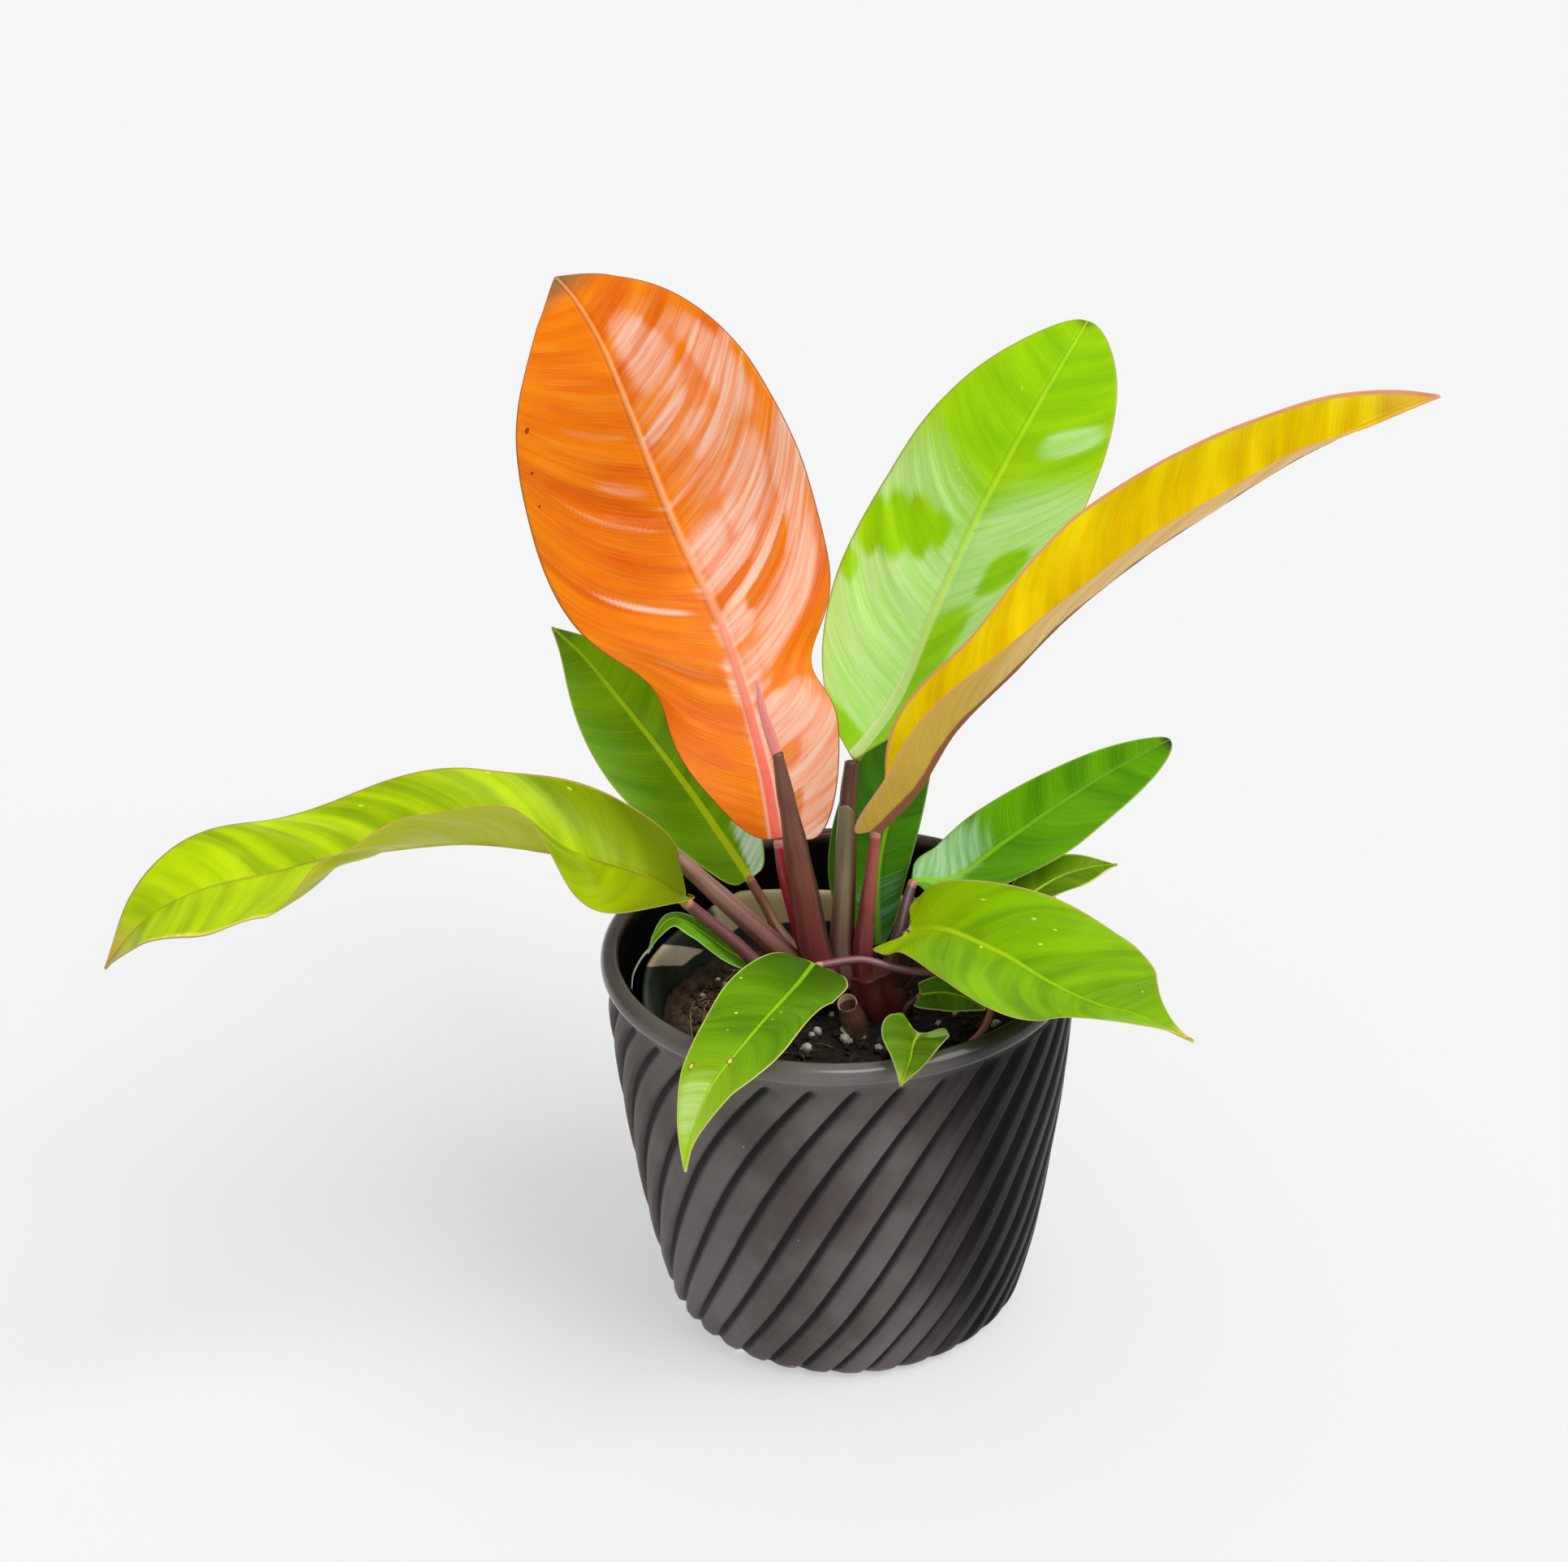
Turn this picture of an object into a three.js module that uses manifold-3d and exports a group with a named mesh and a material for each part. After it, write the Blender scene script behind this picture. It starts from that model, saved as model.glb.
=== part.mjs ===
// A Prince of Orange philodendron in its soft nursery pot, standing inside a fluted ceramic cachepot.
// Millimetres, +Z up. The origin is the centre of the cachepot's flat foot; the plant's front is -Y.
import * as THREE from "three";
import { mergeVertices } from "three/addons/utils/BufferGeometryUtils.js";
import Module from "manifold-3d";

const wasm = await Module();
wasm.setup();

// Cachepot: [height, radius at the crests of the ribs], from the foot up to the neck under the lip.
const potSide = [[0, 56], [1.6, 59.8], [5, 62.3], [12, 64.2], [27, 67.6], [46, 70.8], [68, 73.7],
  [90, 76.4], [112, 78], [125, 78.2]];
// The rolled lip, the inner wall and the floor, as [radius, height].
const potLip = [[78.5, 127], [79.7, 129], [80, 131.6], [79.4, 134.4], [77.8, 136.1], [76, 136.5],
  [74.4, 135.4], [73.8, 131], [72.4, 105], [61, 20], [54, 9]];

// Ribs: each rises gently from its groove and drops steeply into the next one, as [share of width, height].
const ribCount = 34;
const ribDepth = 2.1;
const ribSection = [[0, 0], [0.28, 0.66], [0.6, 0.93], [0.88, 1]];
const ribStart = 7.7; // degrees round from +X, at the foot
const ribTurn = 0.4; // degrees of turn for each millimetre up, where the ribs stand steepest
const ribSweep = 0.29; // added to the turn at a distance of ribReach above or below that height
const ribSteepest = 68;
const ribReach = 64;
const ribFade = 9; // height over which the ribs fade into the neck
const ribFoot = 0.45; // share of the depth left at the foot

// Nursery pot: a thin, slightly crumpled liner, wider from side to side, with a creased corner at the back.
const linerFloor = 9.4;
const linerHeight = 119.5;
const linerLevels = [9.4, 50, 82, 104, 114.5, 119.5];
const linerWall = 1.2;
const linerFoot = 47;
const linerFlare = 13.8;
const linerSpread = 6;
const linerSag = 0.7;
const linerCrease = 118; // degrees round from +X
const creaseReach = 8.3;
const creaseWidth = 15; // degrees
const flangeDepth = 1.2;
const drainHoles = { count: 5, radius: 3.6, circle: 32 };

// Potting mix: its level, a root mound at the left, a dip in front, slow swells and short ripples.
const soilLevel = 104;
const soilMound = { x: -38, y: 8, wide: 16, deep: 20, rise: 2.2 };
const soilDip = { x: 0, y: -45, wide: 60, deep: 14, rise: -1.5 };
const soilSwell = { rise: 1.3, x: 7, y: 6 };
const soilRipple = { rise: 0.8, x: 3.1, y: 4.3 };
const soilCrumb = 1.6;
const soilChips = { count: 16, nearest: 16, spread: 36, smallest: 1.4, range: 2.2, sunk: 0.25 };

const clearance = 0.3; // between neighbours
const bladeThickness = 0.8;
const keelDepth = 1.9; // of the midrib below the blade, at the petiole
const keelTaper = 0.8;
const midribHalf = [1.1, 0.4]; // at the petiole and at the tip
const lobePeak = 0.05; // where along the midrib the basal lobes start

const colours = { charcoal: 0x3a3432, cream: 0xb9ad97, soil: 0x33251d, crown: 0x4e1b20, maroon: 0x6b3a38,
  crimson: 0x9a1428, brown: 0x6a4338, olive: 0x6f6350, tan: 0x8a6a4a, pink: 0xb04a5c, orange: 0xf0832c,
  lime: 0x9fc62a, green: 0x5f9a2c, dark: 0x3f7a30, yellow: 0xd9b42c };
const roughness = { charcoal: 0.5, cream: 0.6, soil: 0.95 };
const leafRoughness = 0.42;

// Stalks: the middle line from the blade end down, and radii spread evenly along it.
const stalks = {
  crown: { path: [[14, 5, 97], [13.5, 6, 108], [11, 7, 119]], radii: [8, 9.6, 7.6], sides: 12, steps: 5,
    colour: "crown" },
  petiole_green: { path: [[6, 33, 185], [4.5, 29, 176], [3.5, 23, 166], [3, 19, 157], [2.6, 16, 149]],
    radii: [2.6, 2.8, 2.8, 2.2], colour: "maroon" },
  new_leaf_roll: { path: [[-25, 9, 228], [-23, 8, 217], [-20.5, 7, 208], [-18, 6, 198], [-16.5, 6, 190]],
    radii: [0.5, 1.2, 1.6, 1.5, 1.2], sides: 6, colour: "pink" },
  new_leaf_sheath: { path: [[-19, 6, 203], [-17, 6, 190], [-14, 6, 170], [-11, 5, 150], [-8, 4, 130],
    [-3, 3, 113]], radii: [1.9, 3, 4.1, 4.8, 5.3, 5.4], steps: 10, sides: 10, colour: "brown" },
  sheath_green: { path: [[4, 23, 170], [3, 19, 157], [2, 14, 144], [1, 10, 126], [3, 8, 113]],
    radii: [3.4, 3.7, 3.9, 4.1, 4.1], sides: 10, colour: "olive" },
  petiole_yellow: { path: [[13, 14, 169], [12, 13, 160], [10, 10, 145], [8, 8, 128], [8, 6, 114]],
    radii: [1.8, 2.1, 2.7, 3.4, 3.6], colour: "maroon" },
  petiole_orange: { path: [[-19.5, 16, 165], [-17.5, 13, 152], [-14, 10, 138], [-10, 8, 125], [-2, 6, 112]],
    radii: [1.8, 2.2, 2.6, 3, 3], colour: "crimson" },
  sheath_left: { path: [[-58, 8.5, 171.2], [-53, 8.2, 164.4], [-46, 7.5, 156.7], [-35, 6, 145.5],
    [-22, 5, 132], [-6, 5, 115]], radii: [1.6, 2.9, 3.4, 3.6, 3.7, 3.7], steps: 9, colour: "brown" },
  petiole_lime: { path: [[-51, 2, 151], [-45, 3, 144], [-34, 3, 133], [-24, 2, 122], [-8, 2, 110]],
    radii: [2, 2.3, 2.5, 2.8, 3], colour: "maroon" },
  petiole_back_left: { path: [[-30, 34, 141], [-25, 27, 135], [-19, 19, 127], [-6, 11, 114]],
    radii: [1.7, 1.9, 2.1, 2.4], colour: "tan" },
  petiole_right: { path: [[26, 25, 143], [24, 21.5, 138.5], [21, 15, 130], [16, 9, 116]],
    radii: [1.8, 2, 2.6, 3], colour: "brown" },
  petiole_right_front: { path: [[23, 4, 135], [22, 4, 129], [20, 4, 121], [17, 4, 113]],
    radii: [1.8, 2.2, 3, 3.6], colour: "crown" },
  stem_front: { path: [[-8, -20, 138], [6, -16, 137.5], [16, -16, 134.5], [25, -18, 133.5], [33, -20, 134],
    [44, -28, 133], [48, -34, 131], [47, -37, 126], [44, -38, 121], [39, -37, 114], [34, -34, 101]],
    radii: [1.4, 1.4], steps: 20, sides: 6, colour: "maroon" },
  petiole_right_small: { path: [[60, 17, 137], [46, 14, 131], [32, 10, 122], [20, 7, 110]],
    radii: [1.1, 1.2, 1.4, 1.7], sides: 6, colour: "brown" },
  petiole_inner_left: { path: [[-30, 8, 122], [-20, 8.5, 116], [-1, 7, 109]], radii: [1, 1.2, 1.4], sides: 6,
    colour: "maroon" },
  petiole_heart: { path: [[23, -58, 134.5], [22, -49, 128], [18, -34, 117], [13, -20, 101]],
    radii: [0.9, 0.9, 1.1, 1.4], sides: 6, colour: "crown" },
  petiole_low: { path: [[27, -1, 114], [22.5, -3, 111], [21, -4, 107], [20, -6, 101]],
    radii: [0.9, 1.1, 1.3], sides: 6, colour: "brown" },
  scale_front: { path: [[2, -8, 116], [4, -8, 109], [6, -8, 100]], radii: [3.4, 4.6, 4.6], steps: 4,
    colour: "tan" },
};

// Leaves: midrib from the petiole to the tip, the way the upper side faces, half widths [left, right],
// where along the rib it is widest, how blunt the base and how drawn out the tip are, how far the lobes
// at the base reach back, how far the side veins lean forward, and the angle that each half is folded up by.
// A dent is [side, place along the rib, lift, length, bite out of the margin].
const leaves = {
  leaf_orange: { rib: [[-20, 16.5, 166], [-24.2, 30, 188.5], [-35.5, 54, 223.5], [-51.8, 78, 254.5],
    [-65.6, 98, 287], [-75.2, 115, 306], [-84.2, 130, 317], [-92, 142, 322.5]],
    face: [[0.3, -0.7, 0.5], [0.1, -0.75, 0.5], [-0.3, -0.7, 0.5], [-0.2, -0.55, 0.7]], width: [47.8, 48.4],
    peak: 0.588, base: 0.37, tip: 0.89, lobe: [-1.7, 9], lean: -0.023, left: [-0.086, -0.032, 0.05],
    right: [0.3, 0.01, 0], dents: [[1, 0.263, -8, 0.06, 9.4], [-1, 0.283, -3, 0.09, 8.1]], rows: 24,
    colour: "orange" },
  leaf_green: { rib: [[7, 34, 186], [22, 50, 200], [38, 68, 230], [52.5, 82, 255.5], [68, 94, 280],
    [79.5, 104, 296], [91, 116, 310]], face: [[-0.6, -0.5, 0.5], [-0.4, -0.6, 0.4]], width: [40.5, 43],
    peak: 0.37, base: 0.53, tip: 0.7, lobe: [2.5, 10], lean: 0.5, left: [0.52, 0.02, 0],
    right: [0.55, 0.2, 0], colour: "lime" },
  leaf_yellow: { rib: [[13, 14, 169], [26, 14, 184], [39, 16, 205.5], [58, 20, 224], [75.5, 24, 241],
    [99, 28, 259], [124, 30, 275.5], [149.5, 30, 292], [175.5, 28, 305.5], [191, 24, 313]],
    face: [[-0.5, -0.3, 0.7], [-0.3, -0.6, 0.7], [-0.3, -0.55, 0.7]], width: [33, 40.5], peak: 0.44,
    base: 0.72, tip: 0.92, lobe: [-6, 12.5], lean: 0.27, left: [1.2, 1.55, 1.28, 1.2, 0.6],
    right: [1.2, 1.2, 1.2, 1.15, 0.85], columns: 3, colour: "yellow" },
  leaf_lime: { rib: [[-51, 2, 151], [-62, -2, 162], [-78, -6, 171], [-91, -10, 178], [-113.5, -16, 185.5],
    [-133, -22, 188.5], [-156, -30, 189.5], [-176.5, -38, 188.5], [-199.5, -46, 187], [-216, -52, 180.5],
    [-230, -56, 166]], face: [[-0.2, -0.1, 0.6], [0.1, -0.25, 1], [-0.4, -0.3, 0.85]], width: [32.5, 29],
    peak: 0.42, base: 0.24, tip: 0.96, lobe: [13, -3.5], lean: 0.82,
    left: [0.5, 0, 1.1, 1.05, 0.8, 0.3, 0.1, 0.3, 0.4], right: [1.05, 0.3, -0.15, 0.2, 0.15], rows: 24,
    colour: "lime" },
  leaf_back_left: { rib: [[-30, 34, 141], [-39, 42, 153], [-54, 56, 171], [-70, 70, 188], [-86, 83, 204],
    [-97, 91, 212]], face: [[0.3, -0.8, 0.5]], width: [21.5, 20], peak: 0.46, base: 0.64, tip: 1.05,
    lobe: [3, 3], lean: 0.05, left: [0.3, 0.15, 0.05], right: [0.3, 0.15, 0.05], rows: 14, columns: 3,
    colour: "green" },
  leaf_right: { rib: [[26, 26, 143], [41, 32, 140.5], [58, 40, 149], [76, 48, 158], [96, 58, 166],
    [118, 66, 174]], face: [[-0.3, -0.45, 0.75]], width: [15.5, 22], peak: 0.35, base: 0.66, tip: 0.62,
    lobe: [2, 6], lean: 0.27, left: [0.3, 0, 0], right: [0.55, 0.25, 0], rows: 14, columns: 3,
    colour: "green" },
  leaf_right_front: { rib: [[23.5, 3.5, 135.6], [34.5, -6, 142], [52, -23, 142.5], [67, -41, 141],
    [80.5, -53, 139.5], [92.5, -59, 141.5], [109, -67, 135.5]], face: [[0, -0.3, 0.9], [0.3, -0.15, 0.8]],
    width: [34, 36.5], peak: 0.49, base: 0.53, tip: 1.62, lobe: [10.5, 14.5], lean: 0.31,
    left: [0.45, 0.05, 0], right: [0.32, 0.3, 0.55], rows: 18, columns: 3, colour: "lime" },
  leaf_front_left: { rib: [[-9, -20, 139], [-14.5, -31, 138], [-22, -52, 142], [-30.5, -72, 143.5],
    [-41.5, -84, 135.5], [-47.5, -89, 123], [-51, -92, 109]], face: [[0, -0.45, 0.85], [-0.5, -0.55, 0.55]],
    width: [19.4, 17.3], peak: 0.29, base: 0.44, tip: 0.87, lobe: [4, 1], lean: 0.38,
    left: [0.35, 0.4, 0.85], right: [0.3, 0.05, 0.1], rows: 16, columns: 3, colour: "lime" },
  leaf_heart: { rib: [[23, -58, 134.5], [21, -69, 138.5], [19, -81, 139.5], [16, -89, 136.5]],
    face: [[0.1, -0.4, 0.9], [-0.1, -0.7, 0.55]], width: [10.5, 11], peak: 0.33, base: 0.6, tip: 1.1,
    lobe: [9, 9.5], lean: 0.12, left: [0.45, 0.5], right: [0.5, 0.35], rows: 10, columns: 3,
    colour: "green" },
  leaf_inner_left: { rib: [[-30, 8, 122], [-40, 6, 131], [-49, 3, 141], [-56, 1, 145], [-61, -2, 141],
    [-64, -4, 135]], face: [[0.3, -0.2, 0.9], [-0.3, -0.3, 0.9]], width: [7, 4], peak: 0.32, base: 0.6,
    tip: 1.3, lobe: [0, 0], lean: 0.2, left: [0.2, 0.05], right: [0.2, 0.05], rows: 10, columns: 2,
    colour: "green" },
  leaf_back: { rib: [[14, 26, 118], [14, 33, 140], [19, 41, 162], [28, 50, 182], [38, 58, 196]],
    face: [[0.3, -0.9, 0.25]], width: [22, 11], peak: 0.48, base: 0.55, tip: 0.95, lobe: [-2, -1], lean: 0,
    left: [0.1, 0.3, 0.1], right: [0.1, 0.1, 0.05], rows: 12, columns: 2, colour: "dark" },
  leaf_right_small: { rib: [[60, 17, 137], [69, 22, 141], [78, 28, 142.5], [88, 32, 143], [97, 36, 141.5]],
    face: [[-0.2, -0.2, 0.9], [0, -0.45, 0.9]], width: [8.5, 8.5], peak: 0.3, base: 0.5, tip: 1.2,
    lobe: [1, 1], lean: 0.4, left: [0.2, 0.05], right: [0.3, 0.05], rows: 10, columns: 2, colour: "dark" },
  leaf_low: { rib: [[27, -1, 114], [35, -5, 117], [42, -9, 117], [48, -13, 115]], face: [[0, -0.5, 0.85]],
    width: [6, 7], peak: 0.4, base: 0.5, tip: 1, lobe: [3, 3], lean: 0.2, left: [0.2, 0.1],
    right: [0.2, 0.1], rows: 8, columns: 2, colour: "green" },
};

const { degToRad, radToDeg, lerp, clamp } = THREE.MathUtils;
const vector = (p) => new THREE.Vector3(...p);
const smooth = (u) => u * u * (3 - 2 * u);

// A value that passes smoothly through evenly spaced numbers, or vectors, as t runs from 0 to 1.
function along(values, t) {
  const last = values.length - 1;
  if (last === 0) return values[0];
  const x = clamp(t, 0, 1) * last;
  const i = Math.min(Math.floor(x), last - 1);
  const u = smooth(x - i);
  if (Array.isArray(values[0])) return values[i].map((a, k) => lerp(a, values[i + 1][k], u));
  return lerp(values[i], values[i + 1], u);
}

// Repeatable random numbers between 0 and 1.
function seeded(seed) {
  let state = seed;
  return () => {
    state = (state + 0x6d2b79f5) | 0;
    let t = Math.imul(state ^ (state >>> 15), 1 | state);
    t = (t + Math.imul(t ^ (t >>> 7), 61 | t)) ^ t;
    return ((t ^ (t >>> 14)) >>> 0) / 4294967296;
  };
}

function geometryFrom(vertices, faces) {
  const geometry = new THREE.BufferGeometry();
  const numbers = vertices.flatMap((v) => [v.x, v.y, v.z]);
  geometry.setAttribute("position", new THREE.Float32BufferAttribute(numbers, 3));
  geometry.setIndex(faces.flat());
  return geometry;
}

function solidFrom(geometry) {
  const bare = geometry.clone();
  bare.deleteAttribute("normal");
  bare.deleteAttribute("uv");
  const merged = mergeVertices(bare, 1e-3);
  return new wasm.Manifold(new wasm.Mesh({ numProp: 3, vertProperties: merged.attributes.position.array,
    triVerts: new Uint32Array(merged.index.array) }));
}

function geometryOf(solid) {
  const mesh = solid.getMesh();
  const geometry = new THREE.BufferGeometry();
  geometry.setAttribute("position", new THREE.BufferAttribute(Float32Array.from(mesh.vertProperties), 3));
  geometry.setIndex(Array.from(mesh.triVerts));
  return geometry;
}

// Only the biggest body of a solid, without the scraps that a cut can leave.
function biggest(solid) {
  return solid.decompose().sort((a, b) => b.volume() - a.volume())[0];
}

// A closed solid through a stack of rings, listed from the outside of the foot, up, over and back inside.
// A ring may have half as many points as the one before it. The first and last rings are closed by fans.
function ringStack(rings) {
  const vertices = [];
  const faces = [];
  const starts = rings.map((ring) => vertices.push(...ring) - ring.length);
  rings.slice(1).forEach((ring, k) => {
    const a = starts[k], b = starts[k + 1], n = rings[k].length, m = ring.length;
    for (let j = 0; j < m; j++) {
      const next = (j + 1) % m;
      if (n === m) faces.push([a + j, a + next, b + next], [a + j, b + next, b + j]);
      else {
        const left = a + 2 * j, middle = left + 1, right = a + ((2 * j + 2) % n);
        faces.push([left, middle, b + j], [middle, b + next, b + j], [middle, right, b + next]);
      }
    }
  });
  const fan = (ring, start, flip) => {
    const sum = ring.reduce((total, v) => total.add(v), new THREE.Vector3());
    const centre = vertices.push(sum.divideScalar(ring.length)) - 1;
    ring.forEach((_, j) => {
      const next = start + ((j + 1) % ring.length);
      faces.push(flip ? [centre, next, start + j] : [centre, start + j, next]);
    });
  };
  fan(rings[0], starts[0], true);
  fan(rings.at(-1), starts.at(-1), false);
  return geometryFrom(vertices, faces);
}

function ring(count, place) {
  return Array.from({ length: count }, (_, j) => place((j / count) * 2 * Math.PI, j));
}

const polar = (radius, angle, z) => new THREE.Vector3(radius * Math.cos(angle), radius * Math.sin(angle), z);

// The ribs wind up round the pot, more slowly at mid height than near the foot and the neck.
function cachepot() {
  const neck = potSide.at(-1)[0];
  const turned = (z) => degToRad(ribStart + ribTurn * z +
    (ribSweep * ((z - ribSteepest) ** 3 + ribSteepest ** 3)) / (3 * ribReach ** 2));
  const samples = ribSection.length;
  const outside = potSide.map(([z, radius]) => {
    const depth = ribDepth * smooth(clamp((neck - z) / ribFade, 0, 1)) * Math.min(1, ribFoot + z / ribFade);
    return ring(ribCount * samples, (_, j) => {
      const [share, height] = ribSection[j % samples];
      const angle = ((Math.floor(j / samples) + share) / ribCount) * 2 * Math.PI;
      return polar(radius - depth * (1 - height), angle + turned(z), z);
    });
  });
  const half = (ribCount * samples) / 2;
  const inside = potLip.map(([radius, z]) => ring(half, (angle) => polar(radius, angle + turned(neck), z)));
  return solidFrom(ringStack([...outside, ...inside]));
}

// Outer radius of the nursery pot, straight between its levels.
function linerRadius(angle, z) {
  const away = Math.abs(((radToDeg(angle) - linerCrease + 540) % 360) - 180);
  const radius = (level) => {
    const up = (level - linerFloor) / (linerHeight - linerFloor);
    const corner = creaseReach * up ** 2 * Math.exp(-((away / creaseWidth) ** 1.3));
    const oval = linerSpread * up * Math.cos(angle) ** 2 + linerSag * up * Math.cos(3 * angle);
    return linerFoot + linerFlare * up ** 0.9 + corner + oval;
  };
  const k = Math.max(1, linerLevels.findIndex((level) => level >= z));
  const low = linerLevels[k - 1], high = linerLevels[k];
  return lerp(radius(low), radius(high), (z - low) / (high - low));
}

function nurseryPot() {
  const level = ([z, inset]) => ring(32, (angle) => polar(linerRadius(angle, z) - inset, angle, z));
  const inner = linerFloor + linerWall;
  const rings = [[linerFloor, 3], [linerFloor + 2.5, 0], [50, 0], [82, 0], [104, 0], [114.5, 0],
    [115.5, -flangeDepth], [linerHeight, -flangeDepth], [linerHeight, linerWall], [104, linerWall],
    [82, linerWall], [50, linerWall], [inner + 1.8, linerWall], [inner + 0.2, 3.4]];
  let pot = solidFrom(ringStack(rings.map(level)));
  for (let k = 0; k < drainHoles.count; k++) {
    const hole = new THREE.CylinderGeometry(drainHoles.radius, drainHoles.radius, 12, 8);
    hole.rotateX(Math.PI / 2);
    const angle = (k / drainHoles.count) * 2 * Math.PI;
    hole.translate(drainHoles.circle * Math.cos(angle), drainHoles.circle * Math.sin(angle), linerFloor);
    pot = pot.subtract(solidFrom(hole));
  }
  return pot;
}

function soilHeight(x, y) {
  const swell = soilSwell.rise * Math.sin(x / soilSwell.x + 1) * Math.cos(y / soilSwell.y);
  const ripple = soilRipple.rise * Math.sin(x / soilRipple.x - y / soilRipple.y);
  const hump = (s) => s.rise * Math.exp(-(((x - s.x) / s.wide) ** 2) - ((y - s.y) / s.deep) ** 2);
  return soilLevel + swell + ripple + hump(soilMound) + hump(soilDip);
}

// Potting mix: a plug that fills the nursery pot, with a crumbly top and chips of bark and perlite on it.
function pottingMix() {
  const random = seeded(7);
  const inset = linerWall + 3 * clearance;
  const level = ([z, more]) => ring(32, (angle) => polar(linerRadius(angle, z) - inset - more, angle, z));
  const top = [1, 0.82, 0.6, 0.36, 0.14].map((share) => ring(32, (angle) => {
    const rim = share === 1;
    const reach = (linerRadius(angle, soilLevel - 3) - inset) * share - (rim ? clearance : 0);
    const v = polar(reach, angle, 0);
    v.z = soilHeight(v.x, v.y) + (random() - 0.5) * soilCrumb - (rim ? 1.5 : 0);
    return v;
  }));
  const side = [[linerFloor + linerWall + 0.7, 3.4], [linerFloor + 4, 0], [50, 0], [82, 0], [99, 0]];
  let mix = solidFrom(ringStack([...side.map(level), ...top]));
  for (let k = 0; k < soilChips.count; k++) {
    const angle = random() * 2 * Math.PI;
    const reach = soilChips.nearest + soilChips.spread * Math.sqrt(random());
    const size = soilChips.smallest + soilChips.range * random();
    const chip = new THREE.IcosahedronGeometry(size, 0);
    chip.scale(1, 0.6 + 0.8 * random(), 0.6);
    chip.rotateZ(random() * Math.PI);
    chip.rotateX(random() - 0.5);
    const x = reach * Math.cos(angle), y = reach * Math.sin(angle);
    chip.translate(x, y, soilHeight(x, y) + soilChips.sunk * size);
    mix = mix.add(solidFrom(chip));
  }
  return biggest(mix);
}

// A tapering stalk with domed ends; grown makes it thicker all round.
function stalkSolid(spec, grown = 0) {
  const curve = new THREE.CatmullRomCurve3(spec.path.map(vector), false, "catmullrom", 0.5);
  const steps = spec.steps ?? 7, sides = spec.sides ?? 8;
  const frames = curve.computeFrenetFrames(steps, false);
  const rings = [];
  const ringAt = (t, k, share, slide) => {
    const centre = curve.getPointAt(t).addScaledVector(frames.tangents[k], slide);
    const radius = (along(spec.radii, t) + grown) * share;
    rings.push(ring(sides, (angle) => centre.clone()
      .addScaledVector(frames.normals[k], radius * Math.cos(angle))
      .addScaledVector(frames.binormals[k], radius * Math.sin(angle))));
  };
  ringAt(0, 0, 0.62, -0.3 - grown);
  for (let k = 0; k <= steps; k++) ringAt(k / steps, k, 1, k === 0 ? 0.5 : k === steps ? -0.5 : 0);
  ringAt(1, steps, 0.62, 0.3 + grown);
  return solidFrom(ringStack(rings));
}

// A point of a blade at s along its midrib and v across it, from -1 to 1, with its lift for the keel.
function bladePoint(spec, curve, length, s, v, grown) {
  const side = v > 0 ? 1 : 0, sign = Math.sign(v), out = Math.abs(v);
  const skew = Math.log(0.5) / Math.log(spec.peak);
  const bulge = Math.sin(Math.PI * clamp(s, 1e-6, 1 - 1e-6) ** skew);
  const share = bulge ** (spec.base + (spec.tip - spec.base) * s);
  const wide = spec.width[side] * share + lerp(...midribHalf, s) + grown;
  const back = spec.lobe[side] * (s / lobePeak) * Math.exp(1 - s / lobePeak);
  const run = length * s + (spec.lean * spec.width[side] * share - back) * out ** 1.3;
  const t = clamp(run / length, 0, 1);
  const tangent = curve.getTangentAt(t);
  const place = curve.getPointAt(t).addScaledVector(tangent, run - t * length);
  const normal = vector(along(spec.face, t));
  normal.addScaledVector(tangent, -normal.dot(tangent)).normalize();
  const across = tangent.clone().cross(normal);
  const fold = along(side ? spec.right : spec.left, s);
  let reach = wide * out * Math.cos(fold), rise = wide * out * Math.sin(fold);
  for (const [which, at, lift, spread, bite] of spec.dents ?? []) {
    const near = which === sign ? Math.exp(-(((s - at) / spread) ** 2)) * out ** 2 : 0;
    reach -= bite * near;
    rise += lift * near;
  }
  place.addScaledVector(across, sign * reach).addScaledVector(normal, rise);
  if (v !== 0) return { place, crease: 1, keel: 0 };
  return { place, crease: Math.max(0.4, Math.cos(fold)), keel: keelDepth * (1 - keelTaper * s) };
}

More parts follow.
